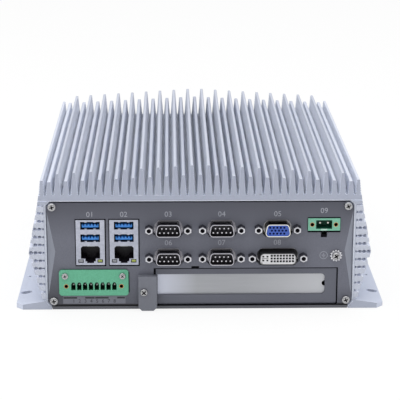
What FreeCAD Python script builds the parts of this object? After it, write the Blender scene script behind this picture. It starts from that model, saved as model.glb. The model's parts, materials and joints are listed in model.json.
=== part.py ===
# Fanless industrial PC: a finned aluminium body around a port panel.
# Millimetres. Z is up, X to the right and the port panel faces -Y.
# The origin is in the middle of the underside, halfway along the body.
import FreeCAD, Part
import os
import re
import Sketcher

# Driving sizes, one name each. Heights are Z, reaches are distances from the middle plane.
SIZES = {
    # body and the joint between the heatsink and the side walls
    "body_depth": 232.5,
    "seam_height": 73.2,
    "seam_step": 5.1,
    "cover_thickness": 2.0,
    "cover_side_gap": 0.3,
    "cover_end_gap": 0.3,
    # fins of the top heatsink
    "valley_height": 77.4,
    "edge_fin_gap": 2.88,
    "fin_sink": 1.0,
    "tall_fin_count": 18,
    "tall_fin_middle": 98.0,
    "tall_fin_side": 91.6,
    "tall_fin_tip": 1.5,
    "tall_fin_root": 4.2,
    "short_fin_count": 19,
    "short_fin_middle": 91.3,
    "short_fin_side": 86.3,
    "short_fin_tip": 1.9,
    "short_fin_root": 3.8,
    "edge_fin_height": 87.4,
    "edge_fin_step": 2.9,
    "edge_fin_tip": 1.3,
    "edge_fin_root_step": 0.4,
    # side walls
    "wall_inner_inset": 2.5,
    "wall_outer_step": 1.5,
    "wall_foot_height": 6.2,
    "wall_shoulder_height": 70.6,
    "nose_step": 5.4,
    "nose_height": 71.7,
    "rail_inset": 13.1,
    "rail_thickness": 3.0,
    "lower_rail_inset": 9.8,
    "boss_radius": 3.2,
    "side_fin_count": 12,
    "side_fin_pitch": 5.35,
    "side_fin_height": 68.2,
    "side_fin_root": 3.6,
    "side_fin_tip": 2.2,
    "side_fin_blank_step": 13.0,
    "side_step_top": 5.5,
    "side_step_middle": 11.7,
    "side_step_bottom": 3.4,
    "side_middle_height": 38.9,
    "side_bottom_height": 6.8,
    # mounting flange
    "flange_step": 20.9,
    "flange_edge": 3.0,
    "flange_break_step": 16.5,
    "flange_break_height": 3.4,
    "flange_root_step": 3.3,
    "flange_root_height": 5.4,
    "flange_corner": 4.4,
    "mount_slot_step": 16.0,
    "mount_slot_setback": 24.0,
    "mount_slot_width": 5.0,
    "mount_slot_length": 7.5,
    "pilot_hole_setback": 57.0,
    "pilot_hole_radius": 1.0,
    # opening at each end and the panel in it
    "opening_reach": 99.5,
    "opening_corner": 2.6,
    "opening_chamfer": 0.8,
    "panel_thickness": 3.0,
    "panel_gap": 0.7,
    "facet_width": 4.9,
    "facet_depth": 1.8,
    "facet_height": 39.7,
    "facet_top": 66.3,
    "facet_bottom": 10.2,
    # screws
    "panel_screw_inset": 4.0,
    "panel_screw_upper": 69.9,
    "panel_screw_lower": 6.0,
    "panel_screw_bite": 8.0,
    "screw_radius": 1.5,
    "screw_clearance": 0.15,
    "screw_tip_room": 1.0,
    "press_room": 0.05,
    "pan_head_radius": 2.75,
    "pan_head_height": 2.0,
    "cover_screw_inset": 6.4,
    "cover_screw_setback": 21.0,
    "cover_screw_bite": 5.0,
    "sunk_head_radius": 2.9,
    "heatsink_screw_inset": 10.2,
    "heatsink_screw_setback": 18.0,
    "heatsink_screw_bite": 3.0,
    # network and USB sockets
    "stack_left": -71.1,
    "stack_pitch": 21.75,
    "stack_width": 18.6,
    "stack_height": 30.4,
    "stack_depth": 21.8,
    "stack_proud": 0.8,
    "stack_gap": 0.6,
    "stack_wall": 0.5,
    "usb_width": 12.6,
    "usb_height": 5.2,
    "usb_upper_height": 26.6,
    "usb_lower_height": 18.2,
    "tongue_width": 11.1,
    "tongue_thickness": 2.0,
    "tongue_setback": 1.2,
    "tongue_drop": 0.4,
    "jack_width": 12.4,
    "jack_foot": 4.3,
    "jack_top": 12.8,
    "jack_corner": 1.2,
    "jack_depth": 12.0,
    "jack_step_width": 6.8,
    "jack_step_foot": 2.4,
    "jack_latch_width": 4.5,
    "jack_latch_foot": 1.3,
    "lamp_spread": 6.2,
    "lamp_height": 2.7,
    "lamp_width": 3.5,
    "lamp_tall": 2.3,
    "lamp_depth": 3.0,
    # D-shaped ports
    "port_left": -20.6,
    "port_right": 13.9,
    "vga_middle": 50.05,
    "dvi_middle": 50.3,
    "port_upper": 55.0,
    "port_lower": 35.8,
    "port_screw_spread": 12.5,
    "dvi_screw_spread": 16.65,
    "port_width": 16.9,
    "port_taper": 1.45,
    "port_height": 8.3,
    "port_round": 2.4,
    "dvi_width": 24.6,
    "dvi_taper": 0.8,
    "dvi_height": 8.2,
    "port_proud": 6.0,
    "port_wall": 0.5,
    "port_cut_gap": 1.6,
    "port_flange_height": 12.4,
    "port_flange_margin": 2.5,
    "port_body_depth": 14.0,
    "port_body_rise": 5.9,
    "pin_radius": 0.5,
    "pin_pitch": 2.77,
    "pin_row": 1.42,
    "pin_length": 4.8,
    "port_face_proud": 0.3,
    "vga_face_recess": 0.4,
    "jackscrew_across": 5.0,
    "jackscrew_length": 5.5,
    "jackscrew_bore": 1.45,
    "jackscrew_bore_depth": 5.0,
    "jackscrew_shank": 1.4,
    "jackscrew_bite": 5.0,
    # power input
    "dc_middle": 80.1,
    "dc_height": 57.6,
    "dc_width": 20.8,
    "dc_tall": 8.2,
    "dc_proud": 1.0,
    "dc_depth": 12.0,
    "dc_cut_gap": 0.3,
    "dc_cavity_width": 10.4,
    "dc_cavity_tall": 5.9,
    "dc_cavity_depth": 9.0,
    "dc_pin_spread": 2.55,
    "dc_pin_rise": 0.8,
    "dc_pin_side": 1.0,
    "dc_pin_length": 7.5,
    "dc_insert_spread": 7.65,
    "insert_radius": 2.0,
    "insert_bore": 1.2,
    "insert_depth": 6.0,
    "latch_width": 3.7,
    "latch_tall": 3.9,
    "latch_shift": 0.25,
    # eight-way header
    "gpio_middle": -69.25,
    "gpio_bottom": 10.0,
    "gpio_width": 45.1,
    "gpio_tall": 17.6,
    "gpio_round": 2.0,
    "gpio_proud": 1.5,
    "gpio_body_width": 41.0,
    "gpio_body_tall": 9.6,
    "gpio_body_depth": 12.0,
    "gpio_cut_gap": 0.3,
    "gpio_way_count": 8,
    "gpio_way_pitch": 3.81,
    "gpio_way_width": 2.9,
    "gpio_way_tall": 5.3,
    "gpio_way_depth": 9.0,
    "gpio_neck_width": 1.4,
    "gpio_shoulder": 1.6,
    "gpio_row_rise": 6.4,
    "gpio_pin_side": 1.0,
    "gpio_pin_length": 5.0,
    "gpio_insert_spread": 17.95,
    "gpio_screw_spread": 18.65,
    "gpio_screw_rise": 13.4,
    "small_head_radius": 2.2,
    "small_head_height": 1.3,
    "small_screw_radius": 1.0,
    # expansion slot
    "slot_left": -30.3,
    "slot_right": 90.0,
    "slot_top": 28.1,
    "slot_frame_left": -28.9,
    "slot_frame_gap": 0.9,
    "slot_frame_setback": 1.0,
    "sheet_thickness": 1.5,
    "slot_frame_foot": 13.0,
    "slot_frame_bend": 2.5,
    "tab_notch_left": -5.7,
    "tab_notch_width": 5.1,
    "tab_notch_tall": 1.3,
    "window_left": -27.8,
    "window_right": 81.6,
    "window_bottom": 9.4,
    "window_top": 23.6,
    "window_round": 2.8,
    "blank_thickness": 0.86,
    "blank_width": 18.4,
    "blank_left": -30.1,
    "blank_right": 84.3,
    "blank_middle": 16.5,
    "blank_hole_radius": 1.9,
    "blank_tab_width": 12.0,
    "hold_down_left": -40.2,
    "hold_down_right": -28.2,
    "hold_down_bottom": 0.3,
    "hold_down_top": 23.8,
    "hold_down_proud": 4.5,
    "hold_down_wall": 1.0,
    "hold_down_corner": 2.2,
    "hold_screw_place": -36.6,
    "hold_screw_height": 13.2,
    "hold_head_radius": 2.55,
    # earth screw
    "earth_place": 88.4,
    "earth_height": 36.4,
    "earth_washer_radius": 4.0,
    "earth_washer_thickness": 0.8,
    "earth_head_height": 2.4,
    # rear panel: push button and lamps
    "button_place": 74.0,
    "button_height": 40.0,
    "button_flange_radius": 8.0,
    "button_flange_thickness": 1.6,
    "button_barrel_radius": 5.95,
    "button_barrel_length": 13.0,
    "button_hole_radius": 6.1,
    "button_bore_radius": 4.6,
    "button_bore_depth": 7.0,
    "button_cap_clearance": 0.08,
    "button_cap_proud": 1.7,
    "button_travel": 1.4,
    "button_travel_room": 0.3,
    "button_nut_across": 14.0,
    "button_nut_thickness": 2.0,
    "status_lamp_place": 56.0,
    "status_lamp_pitch": 8.0,
    "status_lamp_radius": 1.75,
    "status_lamp_proud": 0.8,
    "status_lamp_length": 9.0,
    # electronics inside
    "board_thickness": 1.6,
    "board_height": 30.8,
    "board_side_room": 6.5,
    "board_setback": 4.6,
    "board_rear_room": 32.9,
    "standoff_left_inset": 11.0,
    "standoff_right_inset": 9.0,
    "standoff_front_inset": 31.6,
    "standoff_back_inset": 7.3,
    "standoff_across": 5.5,
    "board_screw_bite": 5.0,
    "processor_place": 10.0,
    "processor_side": 37.5,
    "processor_tall": 4.6,
    "spreader_side": 62.0,
    "memory_place": 62.0,
    "memory_socket_width": 8.0,
    "memory_socket_length": 76.0,
    "memory_socket_tall": 6.0,
    "memory_length": 69.6,
    "memory_thickness": 3.8,
    "memory_tall": 30.0,
    "drive_left": -92.0,
    "drive_front": -30.0,
    "drive_width": 69.9,
    "drive_length": 100.2,
    "drive_tall": 7.0,
    "bracket_height": 15.0,
    "power_board_left": 70.5,
    "power_board_width": 21.5,
    "power_board_top": 65.0,
    "gpio_board_width": 38.0,
    "gpio_board_tall": 16.0,
    "riser_place": 81.5,
    "riser_front": -70.0,
    "riser_length": 90.0,
    "riser_foot": 4.0,
    "riser_slot_width": 8.5,
    "riser_slot_length": 84.0,
    "riser_slot_tall": 9.0,
}

document = FreeCAD.newDocument("fanless_pc")
sizes = document.addObject("Spreadsheet::Sheet", "sizes")
for row, (word, size) in enumerate(SIZES.items(), start=1):
    sizes.set("A" + str(row), word)
    sizes.set("B" + str(row), str(size))
    sizes.setAlias("B" + str(row), word)
document.recompute()

NODES = []


def linked(expression):
    """Point the size names of an expression at the sheet."""
    return re.sub(r"[a-z][a-z_]*", lambda word: "sizes." + word.group() if word.group() in SIZES else word.group(),
                  expression)


def value(expression):
    """The number that an expression gives now."""
    return float(sizes.evalExpression(expression))


def new_body(name, several=False):
    body = document.addObject("PartDesign::Body", name)
    body.AllowCompound = several
    NODES.append(body)
    return body


def origin_plane(body, role):
    return next(feature for feature in body.Origin.OriginFeatures if feature.Role == role)


def new_sketch(body, name, role, offset="0"):
    """A sketch on one of the body's own origin planes, moved along its normal."""
    sketch = body.newObject("Sketcher::SketchObject", body.Name + "_" + name)
    sketch.AttachmentSupport = [(origin_plane(body, role), "")]
    sketch.MapMode = "FlatFace"
    sketch.setExpression("AttachmentOffset.Base.z", linked(offset))
    return sketch


def front_sketch(body, name, behind="0"):
    """A sketch that looks at the port panel, so many millimetres behind the body's front plane."""
    return new_sketch(body, name, "XZ_Plane", "body_depth / 2 - (" + behind + ")")


def bind(sketch, constraints, named=False):
    """Add constraints together and bind each stated size to its expression."""
    indices = sketch.addConstraint([constraint for constraint, _ in constraints])
    for index, (_, expression) in zip(indices, constraints):
        if expression is None:
            continue
        path = "Constraints[" + str(index) + "]"
        if named:
            sketch.renameConstraint(index, "size_" + str(index))
            path = "Constraints.size_" + str(index)
        sketch.setExpression(path, linked(expression))


def outline(sketch, corners, rounded=(), radius="0"):
    """A closed outline through the corners, with the listed corners rounded."""
    first = sketch.GeometryCount
    count = len(corners)
    points = [FreeCAD.Vector(value(across), value(up), 0) for across, up in corners]
    sketch.addGeometry([Part.LineSegment(points[i], points[(i + 1) % count]) for i in range(count)], False)
    sketch.addConstraint([Sketcher.Constraint("Coincident", first + i, 2, first + (i + 1) % count, 1)
                          for i in range(count)])
    places = []
    for i, (across, up) in enumerate(corners):
        if i and across == corners[i - 1][0]:
            places.append((Sketcher.Constraint("Vertical", first + i - 1), None))
        else:
            places.append((Sketcher.Constraint("DistanceX", -1, 1, first + i, 1, points[i].x), across))
        if i and up == corners[i - 1][1]:
            places.append((Sketcher.Constraint("Horizontal", first + i - 1), None))
        else:
            places.append((Sketcher.Constraint("DistanceY", -1, 1, first + i, 1, points[i].y), up))
    bind(sketch, places, named=bool(rounded))
    arcs = sketch.GeometryCount
    for i in rounded:
        sketch.fillet(first + (i - 1) % count, 2, value(radius), True, True)
    rounds = [index for index in range(arcs, sketch.GeometryCount)
              if sketch.Geometry[index].TypeId == "Part::GeomArcOfCircle"]
    bind(sketch, [(Sketcher.Constraint("Radius", index, value(radius)), radius) for index in rounds])


def rectangle(sketch, left, bottom, width, height, rounded=(), radius="0"):
    right = left + " + " + width
    top = bottom + " + " + height
    corners = [(left, bottom), (right, bottom), (right, top), (left, top)]
    outline(sketch, corners, rounded, radius)


def centred(sketch, across, up, width, height):
    """A rectangle about its middle."""
    rectangle(sketch, across + " - " + width + " / 2", up + " - " + height + " / 2", width, height)


def circle(sketch, across, up, radius):
    middle = FreeCAD.Vector(value(across), value(up), 0)
    index = sketch.addGeometry(Part.Circle(middle, FreeCAD.Vector(0, 0, 1), value(radius)), False)
    bind(sketch, [
        (Sketcher.Constraint("DistanceX", -1, 1, index, 3, middle.x), across),
        (Sketcher.Constraint("DistanceY", -1, 1, index, 3, middle.y), up),
        (Sketcher.Constraint("Radius", index, value(radius)), radius),
    ])


def regular(sketch, across, up, radius, sides):
    """A regular polygon with a flat at the bottom."""
    step = 360 / sides
    corners = []
    for i in range(sides):
        angle = str(step * (i + 0.5) - 90) + " deg"
        corners.append((across + " + (" + radius + ") * cos(" + angle + ")",
                        up + " + (" + radius + ") * sin(" + angle + ")"))
    outline(sketch, corners)


def polygons(body, name, role, offset, places, radius, sides):
    """Regular polygons in sketches of four, which solve much faster than one large sketch."""
    sketches = []
    for start in range(0, len(places), 4):
        sketch = new_sketch(body, name + "_" + str(start // 4 + 1), role, offset)
        for across, up in places[start:start + 4]:
            regular(sketch, across, up, radius, sides)
        sketches.append(sketch)
    return sketches


def long_hole(sketch, across, up, length, width):
    """A slot with round ends that runs along the sketch's first axis."""
    radius = value(width) / 2
    half = value(length) / 2 - radius
    middle = FreeCAD.Vector(value(across), value(up), 0)
    normal = FreeCAD.Vector(0, 0, 1)
    ends = [middle + FreeCAD.Vector(side * half, 0, 0) for side in (1, -1)]
    first = sketch.addGeometry(Part.ArcOfCircle(Part.Circle(ends[0], normal, radius),
                                                -1.5707963, 1.5707963), False)
    sketch.addGeometry(Part.LineSegment(ends[0] + FreeCAD.Vector(0, radius, 0),
                                        ends[1] + FreeCAD.Vector(0, radius, 0)), False)
    sketch.addGeometry(Part.ArcOfCircle(Part.Circle(ends[1], normal, radius), 1.5707963, 4.7123889), False)
    sketch.addGeometry(Part.LineSegment(ends[1] - FreeCAD.Vector(0, radius, 0),
                                        ends[0] - FreeCAD.Vector(0, radius, 0)), False)
    for i, j in ((0, 1), (1, 2), (2, 3), (3, 0)):
        sketch.addConstraint(Sketcher.Constraint("Tangent", first + i, 2, first + j, 1))
    sketch.addConstraint(Sketcher.Constraint("Equal", first, first + 2))
    travel = "(" + length + " - " + width + ") / 2"
    bind(sketch, [
        (Sketcher.Constraint("Radius", first, radius), width + " / 2"),
        (Sketcher.Constraint("DistanceX", -1, 1, first, 3, ends[0].x), across + " + " + travel),
        (Sketcher.Constraint("DistanceX", -1, 1, first + 2, 3, ends[1].x), across + " - " + travel),
        (Sketcher.Constraint("DistanceY", -1, 1, first, 3, ends[0].y), up),
    ])


def feature(body, kind, sketch, length, backwards, symmetric):
    made = body.newObject("PartDesign::" + kind, sketch.Name + "_" + kind.lower())
    made.Profile = sketch
    made.SideType = "Symmetric" if symmetric else "One side"
    made.Reversed = backwards
    if length is None:
        made.Type = "ThroughAll"
    else:
        made.setExpression("Length", linked(length))
    sketch.Visibility = False
    body.Tip = made
    return made


def pad(body, sketch, length, backwards=False, symmetric=False):
    return feature(body, "Pad", sketch, length, backwards, symmetric)


def pocket(body, sketch, length=None, backwards=False, symmetric=False):
    """Cut against the sketch's normal, or along it when backwards."""
    return feature(body, "Pocket", sketch, length, backwards, symmetric)


def row_of(body, original, sketch, axis, length, count, backwards=False):
    pattern = body.newObject("PartDesign::LinearPattern", original.Name + "_row")
    pattern.Originals = [original]
    pattern.Direction = (sketch, [axis])
    pattern.Reversed = backwards
    pattern.setExpression("Length", linked(length))
    pattern.setExpression("Occurrences", linked(count))
    body.Tip = pattern
    return pattern


def mirrored(body, originals, role):
    mirror = body.newObject("PartDesign::Mirrored", originals[0].Name + "_mirror")
    mirror.Originals = originals
    mirror.MirrorPlane = (origin_plane(body, role), [""])
    body.Tip = mirror
    return mirror


def chamfer(body, base, wanted, size):
    """Chamfer the edges whose first and last points pass the test."""
    document.recompute()
    names = ["Edge" + str(index) for index, edge in enumerate(base.Shape.Edges, start=1)
             if wanted(edge.Vertexes[0].Point, edge.Vertexes[-1].Point)]
    made = body.newObject("PartDesign::Chamfer", base.Name + "_chamfer")
    made.Base = (base, names)
    made.setExpression("Size", linked(size))
    body.Tip = made
    return made


def near(first, second):
    return abs(first - second) < 0.01


def block(name, left, front, bottom, length, width, height):
    """A plain block from its lowest corner."""
    box = document.addObject("Part::Box", name)
    for path, expression in (("Length", length), ("Width", width), ("Height", height),
                             ("Placement.Base.x", left), ("Placement.Base.y", front),
                             ("Placement.Base.z", bottom)):
        box.setExpression(path, linked(expression))
    NODES.append(box)
    return box


FRONT = "-body_depth / 2"
BACK = "body_depth / 2"
PANEL_BACK = "panel_thickness"
PANEL_REACH = "(opening_reach - panel_gap)"
SEAM_REACH = "(opening_reach + seam_step)"
EDGE_FIN_REACH = "(opening_reach + edge_fin_step)"
EDGE_FIN_ROOT = "(opening_reach + edge_fin_root_step)"
FIN_PITCH = "((opening_reach + edge_fin_root_step - edge_fin_gap) / (short_fin_count - 1))"
WALL_INNER = "(opening_reach - wall_inner_inset)"
WALL_OUTER = "(opening_reach + wall_outer_step)"
RAIL_INNER = "(opening_reach - rail_inset)"
FLANGE_REACH = "(opening_reach + flange_step)"
FLANGE_BREAK = "(opening_reach + flange_break_step)"
PANEL_SCREW_REACH = "(opening_reach - panel_screw_inset)"
COVER_SCREW_REACH = "(opening_reach - cover_screw_inset)"
HEATSINK_SCREW_REACH = "(opening_reach - heatsink_screw_inset)"
BOARD_REACH = "(opening_reach - board_side_room)"
BOARD_FRONT = "(-body_depth / 2 + board_setback)"
BOARD_BACK = "(body_depth / 2 - board_rear_room)"
PANEL_BOTTOM = "(cover_thickness + panel_gap)"
PANEL_TOP = "(seam_height - panel_gap)"
STACKS = ["stack_left", "(stack_left + stack_pitch)"]
COM_COLUMNS = ["port_left", "port_right"]
PORT_ROWS = ["port_upper", "port_lower"]
CORNER_SCREWS = [(side + PANEL_SCREW_REACH, height)
                 for side in ("", "-") for height in ("panel_screw_upper", "panel_screw_lower")]
JACKSCREWS = []
for column in COM_COLUMNS:
    for row in PORT_ROWS:
        JACKSCREWS += [(column + side + "port_screw_spread", row) for side in (" - ", " + ")]
JACKSCREWS += [("vga_middle" + side + "port_screw_spread", "port_upper") for side in (" - ", " + ")]
JACKSCREWS += [("dvi_middle" + side + "dvi_screw_spread", "port_lower") for side in (" - ", " + ")]


def opening_outline(reach, bottom, top):
    """The corners of an end opening, or of the panel in it, each cut at 45 degrees."""
    inner = reach + " - opening_corner"
    return [("-(" + inner + ")", bottom), (inner, bottom), (reach, bottom + " + opening_corner"),
            (reach, top + " - opening_corner"), (inner, top), ("-(" + inner + ")", top),
            ("-" + reach, top + " - opening_corner"), ("-" + reach, bottom + " + opening_corner")]


def port_outline(across, up, width, height, taper, grow):
    """A port's D shape, wide side down, grown by a margin all round."""
    foot = width + " / 2 + " + grow
    head = foot + " - " + taper
    low = up + " - " + height + " / 2 - " + grow
    high = up + " + " + height + " / 2 + " + grow
    return [(across + " - (" + foot + ")", low), (across + " + " + foot, low),
            (across + " + " + head, high), (across + " - (" + head + ")", high)]


def cut_corners(corners, cut):
    """Replace each of four corners of a D shape by a flat."""
    (left, low), (right, _), (head_right, high), (head_left, _) = corners
    return [(left + " + " + cut, low), (right + " - " + cut, low), (right, low + " + " + cut),
            (head_right, high + " - " + cut), (head_right + " - " + cut, high),
            (head_left + " + " + cut, high), (head_left, high + " - " + cut), (left, low + " + " + cut)]


def fin(body, name, across, root, tip, top, count, pitches):
    """One fin at the left end of its row, then the row across the heatsink."""
    sketch = new_sketch(body, name, "XZ_Plane")
    low = "valley_height - fin_sink"
    outline(sketch, [(across + " - " + root + " / 2", low), (across + " + " + root + " / 2", low),
                     (across + " + " + tip + " / 2", top), (across + " - " + tip + " / 2", top)])
    single = pad(body, sketch, "body_depth", symmetric=True)
    row_of(body, single, sketch, "H_Axis", pitches + " * " + FIN_PITCH, count)


def gable(body, name, pitches, middle, side):
    """Cut a row of fins down to a gable that falls from the middle to the outer fins."""
    sketch = new_sketch(body, name, "XZ_Plane")
    edge = "((" + pitches + " + 1) / 2 * " + FIN_PITCH + ")"
    low = middle + " - (" + middle + " - " + side + ") * (" + pitches + " + 1) / " + pitches
    outline(sketch, [("-" + edge, low), ("0", middle), (edge, low),
                     (edge, "tall_fin_middle + fin_sink"), ("-" + edge, "tall_fin_middle + fin_sink")])
    pocket(body, sketch, "body_depth + 2 * fin_sink", symmetric=True)


def top_heatsink():
    body = new_body("top_heatsink")
    sketch = new_sketch(body, "roof", "XZ_Plane")
    outline(sketch, [("-" + SEAM_REACH, "seam_height"), (SEAM_REACH, "seam_height"),
                     (EDGE_FIN_REACH, "edge_fin_height"), (EDGE_FIN_REACH + " - edge_fin_tip", "edge_fin_height"),
                     (EDGE_FIN_ROOT, "valley_height"), ("-" + EDGE_FIN_ROOT, "valley_height"),
                     ("-(" + EDGE_FIN_REACH + " - edge_fin_tip)", "edge_fin_height"),
                     ("-" + EDGE_FIN_REACH, "edge_fin_height")])
    pad(body, sketch, "body_depth", symmetric=True)
    fin(body, "short_fin", "-(short_fin_count - 1) * " + FIN_PITCH, "short_fin_root", "short_fin_tip",
        "short_fin_middle", "short_fin_count", "2 * (short_fin_count - 1)")
    gable(body, "short_gable", "(2 * (short_fin_count - 1))", "short_fin_middle", "short_fin_side")
    fin(body, "tall_fin", "-(tall_fin_count - 1) * " + FIN_PITCH, "tall_fin_root", "tall_fin_tip",
        "tall_fin_middle", "tall_fin_count", "2 * (tall_fin_count - 1)")
    gable(body, "tall_gable", "(2 * (tall_fin_count - 1))", "tall_fin_middle", "tall_fin_side")
    sketch = new_sketch(body, "front_edge", "YZ_Plane")
    outline(sketch, [(FRONT, "seam_height"), (FRONT + " + opening_chamfer", "seam_height"),
                     (FRONT, "seam_height + opening_chamfer")])
    bevel = pocket(body, sketch, "2 * (opening_reach - opening_corner)", symmetric=True)
    mirrored(body, [bevel], "XZ_Plane")
    sketch = new_sketch(body, "screws", "XY_Plane", "seam_height")
    for across in (HEATSINK_SCREW_REACH, "-" + HEATSINK_SCREW_REACH):
        for along in (FRONT + " + heatsink_screw_setback", BACK + " - heatsink_screw_setback"):
            regular(sketch, across, along, "screw_radius", 8)
    pocket(body, sketch, "heatsink_screw_bite", backwards=True)


def side_walls():
    body = new_body("right_side_wall")
    profile = new_sketch(body, "profile", "XZ_Plane")
    outline(profile, [
        ("opening_reach - opening_corner", "0"), (FLANGE_REACH, "0"), (FLANGE_REACH, "flange_edge"),
        (FLANGE_BREAK, "flange_break_height"), ("opening_reach + flange_root_step", "flange_root_height"),
        (WALL_OUTER, "wall_foot_height"), (WALL_OUTER, "wall_shoulder_height"),
        ("opening_reach + nose_step", "nose_height"), (SEAM_REACH, "seam_height"), (RAIL_INNER, "seam_height"),
        (RAIL_INNER, "seam_height - rail_thickness"),
        (PANEL_SCREW_REACH + " - boss_radius", "seam_height - rail_thickness"),
        (PANEL_SCREW_REACH + " - boss_radius", "panel_screw_upper - boss_radius"),
        (WALL_INNER, "panel_screw_upper - boss_radius"),
        (WALL_INNER, "panel_screw_lower + boss_radius"),
        ("opening_reach - lower_rail_inset", "panel_screw_lower + boss_radius"),
        ("opening_reach - lower_rail_inset", "cover_thickness"),
        ("opening_reach - opening_corner", "cover_thickness")])
    pad(body, profile, "body_depth", symmetric=True)
    sketch = new_sketch(body, "fin", "XZ_Plane")
    root = WALL_OUTER + " - fin_sink"
    blank = "opening_reach + side_fin_blank_step"
    outline(sketch, [(root, "side_fin_height - side_fin_root / 2"),
                     (blank, "side_fin_height - side_fin_tip / 2"),
                     (blank, "side_fin_height + side_fin_tip / 2"),
                     (root, "side_fin_height + side_fin_root / 2")])
    single = pad(body, sketch, "body_depth", symmetric=True)
    row_of(body, single, sketch, "V_Axis", "(side_fin_count - 1) * side_fin_pitch", "side_fin_count",
           backwards=True)
    sketch = new_sketch(body, "envelope", "XZ_Plane")
    beyond = blank + " + fin_sink"
    outline(sketch, [("opening_reach + side_step_bottom", "side_bottom_height"), (beyond, "side_bottom_height"),
                     (beyond, "wall_shoulder_height"), ("opening_reach + side_step_top", "wall_shoulder_height"),
                     ("opening_reach + side_step_middle", "side_middle_height")])
    pocket(body, sketch, "body_depth + 2 * fin_sink", symmetric=True)
    sketch = front_sketch(body, "opening")
    inside = RAIL_INNER + " - fin_sink"
    outline(sketch, [(inside, "cover_thickness"), ("opening_reach - opening_corner", "cover_thickness"),
                     ("opening_reach", "cover_thickness + opening_corner"),
                     ("opening_reach", "seam_height - opening_corner"),
                     ("opening_reach - opening_corner", "seam_height"), (inside, "seam_height")])
    opening = pocket(body, sketch, "panel_thickness")
    sketch = front_sketch(body, "panel_screws")
    for height in ("panel_screw_upper", "panel_screw_lower"):
        regular(sketch, PANEL_SCREW_REACH, height, "screw_radius", 8)
    screws = pocket(body, sketch, "panel_thickness + panel_screw_bite + screw_tip_room")
    sketch = new_sketch(body, "mount_slots", "XY_Plane")
    long_hole(sketch, "opening_reach + mount_slot_step", FRONT + " + mount_slot_setback", "mount_slot_length",
              "mount_slot_width")
    circle(sketch, FLANGE_BREAK, FRONT + " + pilot_hole_setback", "pilot_hole_radius")
    slots = pocket(body, sketch, "flange_root_height", backwards=True)
    sketch = new_sketch(body, "cover_screws", "XY_Plane", "cover_thickness")
    regular(sketch, COVER_SCREW_REACH, FRONT + " + cover_screw_setback", "screw_radius", 8)
    cover_screws = pocket(body, sketch, "cover_screw_bite", backwards=True)
    sketch = new_sketch(body, "heatsink_screws", "XY_Plane", "seam_height")
    regular(sketch, HEATSINK_SCREW_REACH, FRONT + " + heatsink_screw_setback",
            "screw_radius + screw_clearance", 8)
    heatsink_screws = pocket(body, sketch, "rail_thickness")
    both_ends = mirrored(body, [opening, screws, slots, cover_screws, heatsink_screws], "XZ_Plane")

    half = value("body_depth / 2")
    reach = value("opening_reach")
    inner = reach - value("opening_corner")
    low = value("cover_thickness")
    high = value("seam_height")

    def round_opening(first, last):
        on_end = near(abs(first.y), half) and near(first.y, last.y)
        inside = all(inner - 0.01 < point.x < reach + 0.01 and low - 0.01 < point.z < high + 0.01
                     for point in (first, last))
        return on_end and inside and not near(first.z, last.z)

    bevel = chamfer(body, both_ends, round_opening, "opening_chamfer")
    flange = value(FLANGE_REACH)
    chamfer(body, bevel, lambda first, last: near(abs(first.y), half) and near(first.y, last.y)
            and near(first.x, flange) and near(last.x, flange), "flange_corner")

    left = document.addObject("Part::Mirroring", "left_side_wall")
    left.Source = body
    left.Normal = (1, 0, 0)
    NODES.append(left)


def bottom_cover():
    body = new_body("bottom_cover")
    sketch = new_sketch(body, "plate", "XY_Plane")
    reach = "(opening_reach - opening_corner - cover_side_gap)"
    rectangle(sketch, "-" + reach, FRONT + " + cover_end_gap", "2 * " + reach, "body_depth - 2 * cover_end_gap")
    plate = pad(body, sketch, "cover_thickness")
    document.recompute()
    places = [(across, along) for across in (COVER_SCREW_REACH, "-" + COVER_SCREW_REACH)
              for along in (FRONT + " + cover_screw_setback", BACK + " - cover_screw_setback")]
    sketch = new_sketch(body, "screws", "XY_Plane")
    for across, along in places:
        circle(sketch, across, along, "screw_radius + screw_clearance")
    holes = pocket(body, sketch, None, backwards=True)
    chamfer(body, holes, lambda first, last: near(first.z, 0) and near(last.z, 0)
            and first.isEqual(last, 0.01), "sunk_head_radius - screw_radius")


def facets(body):
    """A shallow triangular facet at each end of a panel, as two sloping planes."""
    middle = new_sketch(body, "facet_middle", "XY_Plane", "facet_height")
    outline(middle, [(PANEL_REACH + " - facet_width", FRONT), (PANEL_REACH + " + panel_gap", FRONT),
                     (PANEL_REACH + " + panel_gap", FRONT + " + facet_depth")])
    lofts = []
    for end in ("facet_top", "facet_bottom"):
        tip = new_sketch(body, end, "XY_Plane", end)
        place = FreeCAD.Vector(value(PANEL_REACH), value(FRONT), 0)
        index = tip.addGeometry(Part.Point(place), False)
        bind(tip, [(Sketcher.Constraint("DistanceX", -1, 1, index, 1, place.x), PANEL_REACH),
                   (Sketcher.Constraint("DistanceY", -1, 1, index, 1, place.y), FRONT)])
        loft = body.newObject("PartDesign::SubtractiveLoft", body.Name + "_" + end + "_loft")
        loft.Profile = middle
        loft.Sections = [tip]
        loft.Ruled = True
        body.Tip = loft
        lofts.append(loft)
    mirrored(body, lofts, "YZ_Plane")


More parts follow.
